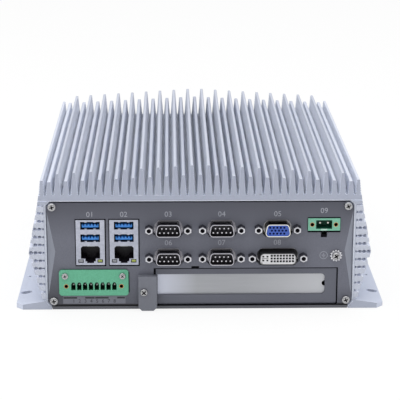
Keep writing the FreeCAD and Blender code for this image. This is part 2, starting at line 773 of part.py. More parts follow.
def front_panel():
    body = new_body("front_panel")
    sketch = front_sketch(body, "plate")
    corners = opening_outline(PANEL_REACH, PANEL_BOTTOM, PANEL_TOP)
    notch_right = "tab_notch_left + tab_notch_width"
    notch_top = "slot_top + tab_notch_tall"
    slot = [("slot_left", PANEL_BOTTOM), ("slot_left", "slot_top"), ("tab_notch_left", "slot_top"),
            ("tab_notch_left", notch_top), (notch_right, notch_top), (notch_right, "slot_top"),
            ("slot_right", "slot_top"), ("slot_right", PANEL_BOTTOM)]
    outline(sketch, corners[:1] + slot + corners[1:])
    pad(body, sketch, "panel_thickness", backwards=True)
    facets(body)
    sketch = front_sketch(body, "socket_cuts")
    for middle in STACKS:
        rectangle(sketch, middle + " - stack_width / 2 - stack_gap", "board_height - stack_gap",
                  "stack_width + 2 * stack_gap", "stack_height + 2 * stack_gap")
    rectangle(sketch, "dc_middle - dc_width / 2 - dc_cut_gap", "dc_height - dc_tall / 2 - dc_cut_gap",
              "dc_width + 2 * dc_cut_gap", "dc_tall + 2 * dc_cut_gap")
    rectangle(sketch, "gpio_middle - gpio_body_width / 2 - gpio_cut_gap",
              "gpio_bottom + gpio_row_rise - gpio_body_tall / 2 - gpio_cut_gap",
              "gpio_body_width + 2 * gpio_cut_gap", "gpio_body_tall + 2 * gpio_cut_gap")
    pocket(body, sketch)
    sketch = front_sketch(body, "latch_cut")
    rectangle(sketch, "dc_middle + latch_shift - latch_width / 2",
              "dc_height - dc_tall / 2 - dc_cut_gap - latch_tall", "latch_width", "latch_tall + dc_cut_gap")
    pocket(body, sketch)
    sketch = front_sketch(body, "port_cuts")
    for column in COM_COLUMNS:
        for row in PORT_ROWS:
            outline(sketch, cut_corners(port_outline(column, row, "port_width", "port_height", "port_taper",
                                                     "port_cut_gap"), "port_round"))
    outline(sketch, cut_corners(port_outline("vga_middle", "port_upper", "port_width", "port_height",
                                             "port_taper", "port_cut_gap"), "port_round"))
    outline(sketch, cut_corners(port_outline("dvi_middle", "port_lower", "dvi_width", "dvi_height",
                                             "dvi_taper", "port_cut_gap"), "port_round"))
    pocket(body, sketch)
    gpio_places = [("gpio_middle" + side + "gpio_screw_spread", "gpio_bottom + gpio_screw_rise")
                   for side in (" - ", " + ")]
    other_places = [("hold_screw_place", "hold_screw_height"), ("earth_place", "earth_height")]
    for name, places, radius in (("corner_holes", CORNER_SCREWS, "screw_radius + screw_clearance"),
                                 ("port_holes", JACKSCREWS, "jackscrew_shank + screw_clearance"),
                                 ("gpio_holes", gpio_places, "small_screw_radius"),
                                 ("other_holes", other_places, "screw_radius")):
        for sketch in polygons(body, name, "XZ_Plane", "body_depth / 2", places, radius, 8):
            pocket(body, sketch)


def rear_panel():
    """The same plate turned to the back, with the push button and lamps in place of the ports."""
    body = new_body("rear_panel")
    sketch = front_sketch(body, "plate")
    outline(sketch, opening_outline(PANEL_REACH, PANEL_BOTTOM, PANEL_TOP))
    pad(body, sketch, "panel_thickness", backwards=True)
    facets(body)
    sketch = front_sketch(body, "holes")
    for across, up in CORNER_SCREWS:
        regular(sketch, across, up, "screw_radius + screw_clearance", 8)
    circle(sketch, "-button_place", "button_height", "button_hole_radius")
    for i in (1, -1):
        circle(sketch, "-status_lamp_place", "button_height + " + str(i) + " * status_lamp_pitch / 2",
               "status_lamp_radius + press_room")
    pocket(body, sketch)
    body.Placement = FreeCAD.Placement(FreeCAD.Vector(), FreeCAD.Rotation(FreeCAD.Vector(0, 0, 1), 180))


def screws_into(body, name, role, places, head, height, shank, bite, seat, inwards):
    """Screws whose heads stand on one plane: round heads out of it and plain shanks into the work."""
    heads = new_sketch(body, name + "_heads", role, seat)
    for across, up in places:
        circle(heads, across, up, head)
    pad(body, heads, height, backwards=inwards)
    shanks = new_sketch(body, name + "_shanks", role, seat)
    for across, up in places:
        regular(shanks, across, up, shank, 8)
    pad(body, shanks, bite, backwards=not inwards)


def fasteners():
    body = new_body("panel_screws", several=True)
    bite = "panel_thickness + panel_screw_bite"
    screws_into(body, "front", "XZ_Plane", CORNER_SCREWS, "pan_head_radius", "pan_head_height", "screw_radius",
                bite, "body_depth / 2", False)
    screws_into(body, "rear", "XZ_Plane", CORNER_SCREWS, "pan_head_radius", "pan_head_height", "screw_radius",
                bite, "-body_depth / 2", True)

    body = new_body("heatsink_screws", several=True)
    places = [(across, along) for across in (HEATSINK_SCREW_REACH, "-" + HEATSINK_SCREW_REACH)
              for along in (FRONT + " + heatsink_screw_setback", BACK + " - heatsink_screw_setback")]
    screws_into(body, "heatsink", "XY_Plane", places, "pan_head_radius", "pan_head_height", "screw_radius",
                "rail_thickness + heatsink_screw_bite", "seam_height - rail_thickness", True)

    body = new_body("cover_screws", several=True)
    places = [(across, along) for across in (COVER_SCREW_REACH, "-" + COVER_SCREW_REACH)
              for along in (FRONT + " + cover_screw_setback", BACK + " - cover_screw_setback")]
    heads = new_sketch(body, "heads", "XY_Plane")
    for across, along in places:
        circle(heads, across, along, "sunk_head_radius")
    cone = pad(body, heads, "sunk_head_radius - screw_radius")
    cone.TaperAngle = -45
    shanks = new_sketch(body, "shanks", "XY_Plane")
    for across, along in places:
        regular(shanks, across, along, "screw_radius", 8)
    pad(body, shanks, "cover_thickness + cover_screw_bite - screw_tip_room")


def stack_socket(number, middle):
    """Two USB ports over one network jack, as one tall socket on the board."""
    index = str(number)
    foot = "board_height"

    def openings(sketch):
        for height in ("usb_upper_height", "usb_lower_height"):
            centred(sketch, middle, foot + " + " + height, "usb_width", "usb_height")
        wide = "jack_width / 2"
        step = "jack_step_width / 2"
        latch = "jack_latch_width / 2"
        outline(sketch, [
            (middle + " - " + latch, foot + " + jack_latch_foot"),
            (middle + " + " + latch, foot + " + jack_latch_foot"),
            (middle + " + " + latch, foot + " + jack_step_foot"),
            (middle + " + " + step, foot + " + jack_step_foot"), (middle + " + " + step, foot + " + jack_foot"),
            (middle + " + " + wide, foot + " + jack_foot"),
            (middle + " + " + wide, foot + " + jack_top - jack_corner"),
            (middle + " + " + wide + " - jack_corner", foot + " + jack_top"),
            (middle + " - " + wide + " + jack_corner", foot + " + jack_top"),
            (middle + " - " + wide, foot + " + jack_top - jack_corner"),
            (middle + " - " + wide, foot + " + jack_foot"), (middle + " - " + step, foot + " + jack_foot"),
            (middle + " - " + step, foot + " + jack_step_foot"),
            (middle + " - " + latch, foot + " + jack_step_foot")])

    def lamp_windows(sketch):
        for side in (" - ", " + "):
            centred(sketch, middle + side + "lamp_spread", foot + " + lamp_height", "lamp_width", "lamp_tall")

    shell = new_body("lan_usb_shell_" + index)
    sketch = front_sketch(shell, "can", "-stack_proud")
    rectangle(sketch, middle + " - stack_width / 2", foot, "stack_width", "stack_height")
    pad(shell, sketch, "stack_depth", backwards=True)
    sketch = front_sketch(shell, "inside", "stack_depth - stack_proud")
    rectangle(sketch, middle + " - stack_width / 2 + stack_wall", foot + " + stack_wall",
              "stack_width - 2 * stack_wall", "stack_height - 2 * stack_wall")
    pocket(shell, sketch, "stack_depth - stack_wall", backwards=True)
    sketch = front_sketch(shell, "openings", "-stack_proud")
    openings(sketch)
    lamp_windows(sketch)
    pocket(shell, sketch, "2 * stack_wall")

    insert = new_body("lan_usb_insert_" + index)
    sketch = front_sketch(insert, "block", "stack_wall - stack_proud")
    rectangle(sketch, middle + " - stack_width / 2 + stack_wall", foot + " + stack_wall",
              "stack_width - 2 * stack_wall", "stack_height - 2 * stack_wall")
    pad(insert, sketch, "stack_depth - stack_wall", backwards=True)
    sketch = front_sketch(insert, "openings", "stack_wall - stack_proud")
    openings(sketch)
    pocket(insert, sketch, "jack_depth")
    sketch = front_sketch(insert, "lamp_seats", "stack_wall - stack_proud")
    lamp_windows(sketch)
    pocket(insert, sketch, "lamp_depth")

    tongues = new_body("usb_tongues_" + index, several=True)
    sketch = front_sketch(tongues, "tongue", "tongue_setback")
    for height in ("usb_upper_height", "usb_lower_height"):
        centred(sketch, middle, foot + " + " + height + " - tongue_drop", "tongue_width", "tongue_thickness")
    pad(tongues, sketch, "jack_depth + stack_wall - stack_proud - tongue_setback", backwards=True)

    if number == 1:
        lamps = new_body("socket_lamps", several=True)
        sketch = front_sketch(lamps, "lamps", "-stack_proud")
        lamp_windows(sketch)
        pair = pad(lamps, sketch, "lamp_depth + stack_wall", backwards=True)
        row_of(lamps, pair, sketch, "H_Axis", "stack_pitch", "2")


def port_shell(name, middle, row, width, height, taper, spread):
    """A stamped shell: a flange behind the panel and a D-shaped collar through it."""
    shell = new_body(name)
    sketch = front_sketch(shell, "flange", PANEL_BACK)
    reach = "(" + spread + " + port_flange_margin)"
    rectangle(sketch, middle + " - " + reach, row + " - port_flange_height / 2", "2 * " + reach,
              "port_flange_height")
    pad(shell, sketch, "port_wall", backwards=True)
    sketch = front_sketch(shell, "collar", PANEL_BACK + " + port_wall")
    outline(sketch, port_outline(middle, row, width, height, taper, "0"), (0, 1, 2, 3), "port_round")
    pad(shell, sketch, "panel_thickness + port_wall + port_proud")
    sketch = front_sketch(shell, "hollow", PANEL_BACK + " + port_wall")
    outline(sketch, port_outline(middle, row, width, height, taper, "(-port_wall)"), (0, 1, 2, 3),
            "port_round - port_wall")
    pocket(shell, sketch, None, symmetric=True)
    sketch = front_sketch(shell, "screw_holes", PANEL_BACK)
    for side in (" - ", " + "):
        regular(sketch, middle + side + spread, row, "jackscrew_shank + screw_clearance", 8)
    pocket(shell, sketch, "port_wall")


def port_block(body, middle, low_row, high_row, spread):
    """The moulded housing behind the shells, standing on the board, with its screw holes."""
    sketch = front_sketch(body, "block", PANEL_BACK + " + port_wall")
    reach = "(" + spread + " + port_flange_margin)"
    rectangle(sketch, middle + " - " + reach, "board_height", "2 * " + reach,
              high_row + " + port_body_rise - board_height")
    pad(body, sketch, "port_body_depth", backwards=True)


def screw_seats(body, places):
    sketch = front_sketch(body, "screw_seats", PANEL_BACK + " + port_wall")
    for across, up in places:
        regular(sketch, across, up, "jackscrew_shank", 8)
    pocket(body, sketch, "jackscrew_bite")


def serial_ports():
    number = 0
    pins = None
    for column_number, column in enumerate(COM_COLUMNS, start=1):
        housing = new_body("com_housing_" + str(column_number))
        port_block(housing, column, "port_lower", "port_upper", "port_screw_spread")
        for row in PORT_ROWS:
            number += 1
            sketch = front_sketch(housing, "nose_" + str(number), PANEL_BACK + " + port_wall")
            outline(sketch, port_outline(column, row, "port_width", "port_height", "port_taper", "(-port_wall)"),
                    (0, 1, 2, 3), "port_round - port_wall")
            pad(housing, sketch, "panel_thickness + port_wall + port_face_proud")
            port_shell("com_shell_" + str(number), column, row, "port_width", "port_height", "port_taper",
                       "port_screw_spread")
        screw_seats(housing, [place for place in JACKSCREWS if place[0].startswith(column)])

        if pins is None:
            pins = new_body("com_pins", several=True)
        sketch = front_sketch(pins, "pins_" + str(column_number), "-port_face_proud")
        for i in range(5):
            regular(sketch, column + " + " + str(i - 2) + " * pin_pitch", "port_lower - pin_row", "pin_radius", 6)
        for i in range(4):
            regular(sketch, column + " + " + str(i - 1.5) + " * pin_pitch", "port_lower + pin_row",
                    "pin_radius", 6)
        single = pad(pins, sketch, "pin_length")
        row_of(pins, single, sketch, "V_Axis", "port_upper - port_lower", "2")


def video_ports():
    port_shell("vga_shell", "vga_middle", "port_upper", "port_width", "port_height", "port_taper",
               "port_screw_spread")
    port_shell("dvi_shell", "dvi_middle", "port_lower", "dvi_width", "dvi_height", "dvi_taper",
               "dvi_screw_spread")
    for name, middle, row, width, height, taper in (
            ("vga_insulator", "vga_middle", "port_upper", "port_width", "port_height", "port_taper"),
            ("dvi_insulator", "dvi_middle", "port_lower", "dvi_width", "dvi_height", "dvi_taper")):
        body = new_body(name)
        sketch = front_sketch(body, "nose", PANEL_BACK + " + port_wall")
        outline(sketch, port_outline(middle, row, width, height, taper, "(-port_wall)"), (0, 1, 2, 3),
                "port_round - port_wall")
        pad(body, sketch, "panel_thickness + port_wall + port_proud - vga_face_recess")
    housing = new_body("video_housing")
    port_block(housing, "dvi_middle", "port_lower", "port_upper", "dvi_screw_spread")
    screw_seats(housing, [place for place in JACKSCREWS if place[0][:3] in ("vga", "dvi")])


def jackscrews():
    body = new_body("jackscrews", several=True)
    for sketch in polygons(body, "hexes", "XZ_Plane", "body_depth / 2", JACKSCREWS,
                           "jackscrew_across / sqrt(3)", 6):
        pad(body, sketch, "jackscrew_length")
    sketch = front_sketch(body, "bores", "-jackscrew_length")
    for across, up in JACKSCREWS:
        circle(sketch, across, up, "jackscrew_bore")
    pocket(body, sketch, "jackscrew_bore_depth")
    for sketch in polygons(body, "shanks", "XZ_Plane", "body_depth / 2", JACKSCREWS, "jackscrew_shank", 8):
        pad(body, sketch, "panel_thickness + port_wall + jackscrew_bite - screw_tip_room", backwards=True)


def inserts(name, places, behind):
    """Threaded brass tubes pressed into a header."""
    body = new_body(name, several=True)
    sketch = front_sketch(body, "tubes", behind)
    for across, up in places:
        circle(sketch, across, up, "insert_radius")
        circle(sketch, across, up, "insert_bore")
    pad(body, sketch, "insert_depth", backwards=True)


def power_input():
    header = new_body("dc_header")
    sketch = front_sketch(header, "block", "-dc_proud")
    centred(sketch, "dc_middle", "dc_height", "dc_width", "dc_tall")
    pad(header, sketch, "dc_depth", backwards=True)
    sketch = front_sketch(header, "cavity", "-dc_proud")
    centred(sketch, "dc_middle", "dc_height", "dc_cavity_width", "dc_cavity_tall")
    pocket(header, sketch, "dc_cavity_depth")
    places = [("dc_middle" + side + "dc_insert_spread", "dc_height") for side in (" - ", " + ")]
    sketch = front_sketch(header, "insert_seats", "-dc_proud")
    for across, up in places:
        circle(sketch, across, up, "insert_radius + press_room")
    pocket(header, sketch, "insert_depth")
    inserts("dc_inserts", places, "-dc_proud")
    pins = new_body("dc_pins", several=True)
    sketch = front_sketch(pins, "pins", "dc_cavity_depth - dc_proud")
    for side in (" - ", " + "):
        centred(sketch, "dc_middle" + side + "dc_pin_spread", "dc_height + dc_pin_rise", "dc_pin_side",
                "dc_pin_side")
    pad(pins, sketch, "dc_pin_length")
    block("power_board", "power_board_left", FRONT + " + dc_depth - dc_proud", "board_height",
          "power_board_width", "board_thickness", "power_board_top - board_height")


def eight_way_header():
    row = "gpio_bottom + gpio_row_rise"
    header = new_body("gpio_header")
    sketch = front_sketch(header, "flange", "-gpio_proud")
    rectangle(sketch, "gpio_middle - gpio_width / 2", "gpio_bottom", "gpio_width", "gpio_tall", (0, 1, 2, 3),
              "gpio_round")
    pad(header, sketch, "gpio_proud", backwards=True)
    sketch = front_sketch(header, "body", "-gpio_proud / 2")
    centred(sketch, "gpio_middle", row, "gpio_body_width", "gpio_body_tall")
    pad(header, sketch, "gpio_body_depth + gpio_proud / 2", backwards=True)
    sketch = front_sketch(header, "way", "-gpio_proud")
    middle = "gpio_middle - (gpio_way_count - 1) * gpio_way_pitch / 2"
    low = row + " - gpio_way_tall / 2"
    high = row + " + gpio_way_tall / 2"
    outline(sketch, [(middle + " - gpio_way_width / 2", low), (middle + " + gpio_way_width / 2", low),
                     (middle + " + gpio_way_width / 2", high + " - gpio_shoulder"),
                     (middle + " + gpio_neck_width / 2", high), (middle + " - gpio_neck_width / 2", high),
                     (middle + " - gpio_way_width / 2", high + " - gpio_shoulder")])
    way = pocket(header, sketch, "gpio_way_depth")
    row_of(header, way, sketch, "H_Axis", "(gpio_way_count - 1) * gpio_way_pitch", "gpio_way_count")
    places = [("gpio_middle" + side + "gpio_insert_spread", row) for side in (" - ", " + ")]
    sketch = front_sketch(header, "insert_seats", "-gpio_proud")
    for across, up in places:
        circle(sketch, across, up, "insert_radius + press_room")
    pocket(header, sketch, "insert_depth")
    screws = [("gpio_middle" + side + "gpio_screw_spread", "gpio_bottom + gpio_screw_rise")
              for side in (" - ", " + ")]
    sketch = front_sketch(header, "screw_holes", "-gpio_proud")
    for across, up in screws:
        regular(sketch, across, up, "small_screw_radius + screw_clearance", 8)
    pocket(header, sketch)
    inserts("gpio_inserts", places, "-gpio_proud")
    body = new_body("gpio_screws", several=True)
    screws_into(body, "gpio", "XZ_Plane", screws, "small_head_radius", "small_head_height",
                "small_screw_radius", "gpio_proud + panel_thickness", "body_depth / 2 + gpio_proud", False)
    pins = new_body("gpio_pins", several=True)
    sketch = front_sketch(pins, "pin", "gpio_way_depth - gpio_proud")
    centred(sketch, middle, row, "gpio_pin_side", "gpio_pin_side")
    single = pad(pins, sketch, "gpio_pin_length")
    row_of(pins, single, sketch, "H_Axis", "(gpio_way_count - 1) * gpio_way_pitch", "gpio_way_count")
    block("gpio_board", "gpio_middle - gpio_board_width / 2", FRONT + " + gpio_body_depth",
          row + " - gpio_board_tall / 2", "gpio_board_width", "board_thickness", "gpio_board_tall")


def expansion_slot():
    frame = new_body("slot_frame")
    sketch = new_sketch(frame, "bend", "YZ_Plane", "slot_frame_left")
    near_face = FRONT + " + slot_frame_setback"
    far_face = near_face + " + sheet_thickness"
    toe = near_face + " + slot_frame_foot"
    outline(sketch, [(near_face, "cover_thickness"), (toe, "cover_thickness"),
                     (toe, "cover_thickness + sheet_thickness"), (far_face, "cover_thickness + sheet_thickness"),
                     (far_face, "slot_top - slot_frame_gap"), (near_face, "slot_top - slot_frame_gap")],
            (0,), "slot_frame_bend")
    pad(frame, sketch, "slot_right - slot_frame_gap - slot_frame_left")
    sketch = front_sketch(frame, "window")
    rectangle(sketch, "window_left", "window_bottom", "(window_right - window_left)",
              "(window_top - window_bottom)", (1, 2), "window_round")
    pocket(frame, sketch, "slot_frame_setback + sheet_thickness + slot_frame_setback")

    blank = new_body("slot_blank")
    behind = "slot_frame_setback + sheet_thickness"
    sketch = front_sketch(blank, "plate", behind)
    rectangle(sketch, "blank_left", "blank_middle - blank_width / 2", "(blank_right - blank_left)", "blank_width")
    pad(blank, sketch, "blank_thickness", backwards=True)
    sketch = front_sketch(blank, "tab", behind + " + blank_thickness")
    centred(sketch, "(blank_left + blank_thickness / 2)", "blank_middle", "blank_thickness", "blank_tab_width")
    pad(blank, sketch, behind + " + blank_thickness + hold_down_proud - hold_down_wall")
    sketch = front_sketch(blank, "hole", behind)
    circle(sketch, "window_right", "blank_middle", "blank_hole_radius")
    pocket(blank, sketch)

    cover = new_body("slot_hold_down")
    corners = [("hold_down_left + hold_down_corner", "hold_down_bottom"),
               ("hold_down_right - hold_down_corner", "hold_down_bottom"),
               ("hold_down_right", "hold_down_bottom + hold_down_corner"),
               ("hold_down_right", "hold_down_top"), ("hold_down_left", "hold_down_top"),
               ("hold_down_left", "hold_down_bottom + hold_down_corner")]
    sketch = front_sketch(cover, "face")
    outline(sketch, corners)
    pad(cover, sketch, "hold_down_proud")
    sketch = front_sketch(cover, "inside")
    inner = "(hold_down_corner + hold_down_wall / 2)"
    outline(sketch, [("hold_down_left + " + inner, "hold_down_bottom + hold_down_wall"),
                     ("hold_down_right - " + inner, "hold_down_bottom + hold_down_wall"),
                     ("hold_down_right - hold_down_wall", "hold_down_bottom + " + inner),
                     ("hold_down_right - hold_down_wall", "hold_down_top - hold_down_wall"),
                     ("hold_down_left + hold_down_wall", "hold_down_top - hold_down_wall"),
                     ("hold_down_left + hold_down_wall", "hold_down_bottom + " + inner)])
    pocket(cover, sketch, "hold_down_proud - hold_down_wall", backwards=True)
    sketch = front_sketch(cover, "screw_hole", "-hold_down_proud")
    regular(sketch, "hold_screw_place", "hold_screw_height", "screw_radius + screw_clearance", 8)
    pocket(cover, sketch)
    body = new_body("hold_down_screw")
    screws_into(body, "hold", "XZ_Plane", [("hold_screw_place", "hold_screw_height")], "hold_head_radius",
                "pan_head_height", "screw_radius", "hold_down_proud + panel_thickness",
                "body_depth / 2 + hold_down_proud", False)


def earth_screw():
    washer = new_body("earth_washer")
    sketch = front_sketch(washer, "ring")
    circle(sketch, "earth_place", "earth_height", "earth_washer_radius")
    circle(sketch, "earth_place", "earth_height", "screw_radius + screw_clearance")
    pad(washer, sketch, "earth_washer_thickness")
    body = new_body("earth_screw")
    screws_into(body, "earth", "XZ_Plane", [("earth_place", "earth_height")], "pan_head_radius",
                "earth_head_height", "screw_radius", "earth_washer_thickness + panel_thickness",
                "body_depth / 2 + earth_washer_thickness", False)


def turned(name, section):
    """A piece turned about the push button's axis, which runs along Y."""
    body = new_body(name)
    sketch = new_sketch(body, "section", "YZ_Plane", "button_place")
    outline(sketch, [(along, "button_height + " + radius) for along, radius in section])
    length = value("button_barrel_length")
    ends = [FreeCAD.Vector(value(BACK) + along, value("button_height"), 0) for along in (0, length)]
    index = sketch.addGeometry(Part.LineSegment(ends[0], ends[1]), True)
    bind(sketch, [(Sketcher.Constraint("Horizontal", index), None),
                  (Sketcher.Constraint("DistanceX", -1, 1, index, 1, ends[0].x), BACK),
                  (Sketcher.Constraint("DistanceY", -1, 1, index, 1, ends[0].y), "button_height"),
                  (Sketcher.Constraint("DistanceX", index, 1, index, 2, length), "button_barrel_length")])
    spin = body.newObject("PartDesign::Revolution", name + "_turning")
    spin.Profile = sketch
    spin.ReferenceAxis = (sketch, ["Axis0"])
    spin.Angle = 360
    body.Tip = spin
    return body


def push_button():
    face = BACK + " + button_flange_thickness"
    inner_end = BACK + " - button_barrel_length"
    floor = face + " - button_bore_depth"
    turned("power_button_bushing", [
        (inner_end, "0"), (floor, "0"), (floor, "button_bore_radius"), (face, "button_bore_radius"),
        (face, "button_flange_radius"), (BACK, "button_flange_radius"), (BACK, "button_barrel_radius"),
        (inner_end, "button_barrel_radius")])
    cap_radius = "(button_bore_radius - button_cap_clearance)"
    cap_end = floor + " + button_travel + button_travel_room"
    turned("power_button_cap", [
        (cap_end, "0"), (face + " + button_cap_proud", "0"), (face + " + button_cap_proud", cap_radius),
        (cap_end, cap_radius)])
    nut = new_body("power_button_nut")
    sketch = new_sketch(nut, "hex", "XZ_Plane", "-(" + BACK + " - panel_thickness)")
    regular(sketch, "button_place", "button_height", "button_nut_across / sqrt(3)", 6)
    circle(sketch, "button_place", "button_height", "button_barrel_radius + press_room")
    pad(nut, sketch, "button_nut_thickness")
    lamps = new_body("status_lamps", several=True)
    sketch = new_sketch(lamps, "lamps", "XZ_Plane", "-(" + BACK + " + status_lamp_proud)")
    for i in (1, -1):
        circle(sketch, "status_lamp_place", "button_height + " + str(i) + " * status_lamp_pitch / 2",
               "status_lamp_radius")
    pad(lamps, sketch, "status_lamp_length")


def electronics():
    stands = [(across, along) for across in ("-(" + BOARD_REACH + " - standoff_left_inset)",
                                             BOARD_REACH + " - standoff_right_inset")
              for along in (BOARD_FRONT + " + standoff_front_inset", BOARD_BACK + " - standoff_back_inset")]
    body = new_body("board_standoffs", several=True)
    sketch = new_sketch(body, "posts", "XY_Plane", "cover_thickness")
    for across, along in stands:
        regular(sketch, across, along, "standoff_across / sqrt(3)", 6)
    pad(body, sketch, "board_height - board_thickness - cover_thickness")
    sketch = new_sketch(body, "bores", "XY_Plane", "board_height - board_thickness")
    for across, along in stands:
        regular(sketch, across, along, "screw_radius", 8)
    pocket(body, sketch, "board_screw_bite")

    body = new_body("motherboard")
    sketch = new_sketch(body, "board", "XY_Plane", "board_height")
    rectangle(sketch, "-" + BOARD_REACH, BOARD_FRONT, "2 * " + BOARD_REACH,
              "(body_depth - board_setback - board_rear_room)")
    pad(body, sketch, "board_thickness", backwards=True)
    sketch = new_sketch(body, "holes", "XY_Plane", "board_height")
    for across, along in stands:
        regular(sketch, across, along, "screw_radius + screw_clearance", 8)
    pocket(body, sketch)

    body = new_body("board_screws", several=True)
    heads = new_sketch(body, "heads", "XY_Plane", "board_height")
    for across, along in stands:
        regular(heads, across, along, "pan_head_radius", 8)
    pad(body, heads, "pan_head_height")
    shanks = new_sketch(body, "shanks", "XY_Plane", "board_height")
    for across, along in stands:
        regular(shanks, across, along, "screw_radius", 8)
    pad(body, shanks, "board_thickness + board_screw_bite - screw_tip_room", backwards=True)

    block("processor", "processor_place - processor_side / 2", "-processor_side / 2", "board_height",
          "processor_side", "processor_side", "processor_tall")
    block("heat_spreader", "processor_place - spreader_side / 2", "-spreader_side / 2",
          "board_height + processor_tall", "spreader_side", "spreader_side",
          "seam_height - board_height - processor_tall")
    block("memory_socket", "memory_place - memory_socket_width / 2", "-memory_socket_length / 2", "board_height",
          "memory_socket_width", "memory_socket_length", "memory_socket_tall")
    block("memory_module", "memory_place - memory_thickness / 2", "-memory_length / 2",
          "board_height + memory_socket_tall", "memory_thickness", "memory_length", "memory_tall")

    body = new_body("drive_bracket")
    sketch = new_sketch(body, "bend", "XZ_Plane", "-drive_front")
    right = "drive_left + drive_width"
    inner_left = "drive_left + sheet_thickness"
    inner_right = right + " - sheet_thickness"
    top = "board_height + bracket_height"
    outline(sketch, [("drive_left", "board_height"), (inner_left, "board_height"),
                     (inner_left, top + " - sheet_thickness"), (inner_right, top + " - sheet_thickness"),
                     (inner_right, "board_height"), (right, "board_height"), (right, top), ("drive_left", top)])
    pad(body, sketch, "drive_length", backwards=True)
    block("solid_state_drive", "drive_left", "drive_front", top, "drive_width", "drive_length", "drive_tall")

    block("riser_card", "riser_place", "riser_front", "riser_foot", "board_thickness", "riser_length",
          "board_height - board_thickness - riser_foot")
    block("riser_slot", "riser_place - riser_slot_width", "riser_front + (riser_length - riser_slot_length) / 2",
          "blank_middle - riser_slot_tall / 2", "riser_slot_width", "riser_slot_length", "riser_slot_tall")


top_heatsink()
side_walls()
bottom_cover()
front_panel()
rear_panel()
fasteners()
for number, middle in enumerate(STACKS, start=1):
    stack_socket(number, middle)
serial_ports()
video_ports()
jackscrews()
power_input()
eight_way_header()
expansion_slot()
earth_screw()
push_button()
electronics()
document.recompute()

for thing in document.Objects:
    if "Invalid" in thing.State or "Error" in thing.State:
        raise RuntimeError(thing.Name + " failed: " + str(thing.State))
for node in NODES:
    if node.Shape.isNull() or not node.Shape.isValid():
        raise RuntimeError(node.Label + " has no sound shape")
os.makedirs("parts", exist_ok=True)
for node in NODES:
    node.Shape.exportStep("parts/" + node.Label + ".step")
    box = node.Shape.BoundBox
    print(node.Label, len(node.Shape.Solids), round(node.Shape.Volume, 1),
          [round(edge, 1) for edge in (box.XMin, box.XMax, box.YMin, box.YMax, box.ZMin, box.ZMax)])
print(len(NODES), "nodes")
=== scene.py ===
import json
import bmesh
import bpy
from math import pi, radians
from mathutils import Matrix, Vector


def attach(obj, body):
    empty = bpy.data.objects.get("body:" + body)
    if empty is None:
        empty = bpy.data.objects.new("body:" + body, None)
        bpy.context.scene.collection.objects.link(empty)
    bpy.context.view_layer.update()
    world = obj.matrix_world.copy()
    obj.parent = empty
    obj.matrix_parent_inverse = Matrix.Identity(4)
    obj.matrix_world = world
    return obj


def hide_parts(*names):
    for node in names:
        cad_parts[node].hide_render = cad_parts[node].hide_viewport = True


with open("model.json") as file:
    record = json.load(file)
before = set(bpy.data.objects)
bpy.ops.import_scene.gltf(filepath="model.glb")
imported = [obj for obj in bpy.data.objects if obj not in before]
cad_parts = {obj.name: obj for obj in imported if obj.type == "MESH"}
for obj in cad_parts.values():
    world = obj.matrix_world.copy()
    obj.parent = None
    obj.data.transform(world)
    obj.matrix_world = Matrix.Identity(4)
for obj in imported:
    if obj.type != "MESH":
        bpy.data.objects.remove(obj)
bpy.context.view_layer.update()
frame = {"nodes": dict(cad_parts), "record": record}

mm = 0.001
near = 0.001  # mm within which two places count as one
spare = 1.0  # mm that a cutter reaches past what it cuts
nodes = frame["nodes"]
case = "case"


# Small tools for modelling by operators

def deselect():
    bpy.ops.object.select_all(action="DESELECT")


def use(piece):  # make one piece the active and only selected object
    deselect()
    piece.select_set(True)
    bpy.context.view_layer.objects.active = piece
    return piece


def applyPlace(piece):
    use(piece)
    bpy.ops.object.transform_apply(location=True, rotation=True, scale=True)
    return piece


def settle(name, scale=(1, 1, 1)):  # name the new primitive, scale it and apply its place
    piece = bpy.context.object
    piece.name = name
    piece.scale = scale
    return applyPlace(piece)


def addCube(name, one, other):  # a block between two corners, in mm
    deselect()
    low = Vector([min(pair) for pair in zip(one, other)]) * mm
    high = Vector([max(pair) for pair in zip(one, other)]) * mm
    bpy.ops.mesh.primitive_cube_add(size=1, location=(low + high) / 2)
    return settle(name, high - low)


def addBlock(name, x, z, wide, tall, front, back):  # a block round a middle, between two depths, in mm
    return addCube(name, (x - wide / 2, front, z - tall / 2), (x + wide / 2, back, z + tall / 2))


def addUpright(name, centre, width, height):  # a plane that faces the front, in mm
    deselect()
    bpy.ops.mesh.primitive_plane_add(size=1, location=Vector(centre) * mm, rotation=(pi / 2, 0, 0))
    return settle(name, (width * mm, height * mm, 1))


def addRod(name, centre, radius, length, sides):  # a rod along Y, in mm
    deselect()
    bpy.ops.mesh.primitive_cylinder_add(vertices=sides, radius=radius * mm, depth=length * mm,
                                        location=Vector(centre) * mm, rotation=(pi / 2, 0, 0))
    return settle(name)


def evenly(middle, count, pitch):  # places spaced out round a middle
    return [middle + (index - (count - 1) / 2) * pitch for index in range(count)]


def editPick(kind, test):  # enter edit mode on the active piece and select by place
    if bpy.context.object.mode != "EDIT":
        bpy.ops.object.mode_set(mode="EDIT")
    bpy.ops.mesh.select_mode(type=kind)
    bpy.ops.mesh.select_all(action="DESELECT")
    mesh = bmesh.from_edit_mesh(bpy.context.object.data)
    parts = {"VERT": mesh.verts, "EDGE": mesh.edges, "FACE": mesh.faces}[kind]
    for part in parts:
        part.select_set(bool(test(part)))
    mesh.select_flush_mode()
    bmesh.update_edit_mesh(bpy.context.object.data)


def pickAll():
    editPick("FACE", lambda face: True)


def isAt(vert, axis, place):  # whether a vertex lies at a place along x, y or z, in mm
    return abs(getattr(vert.co, axis) - place * mm) < near * mm


def bothAt(edge, axis, place):
    return all(isAt(vert, axis, place) for vert in edge.verts)


def span(edge, axis):  # how far an edge reaches along x, y or z, in mm
    one, other = (getattr(vert.co, axis) for vert in edge.verts)
    return abs(one - other) / mm


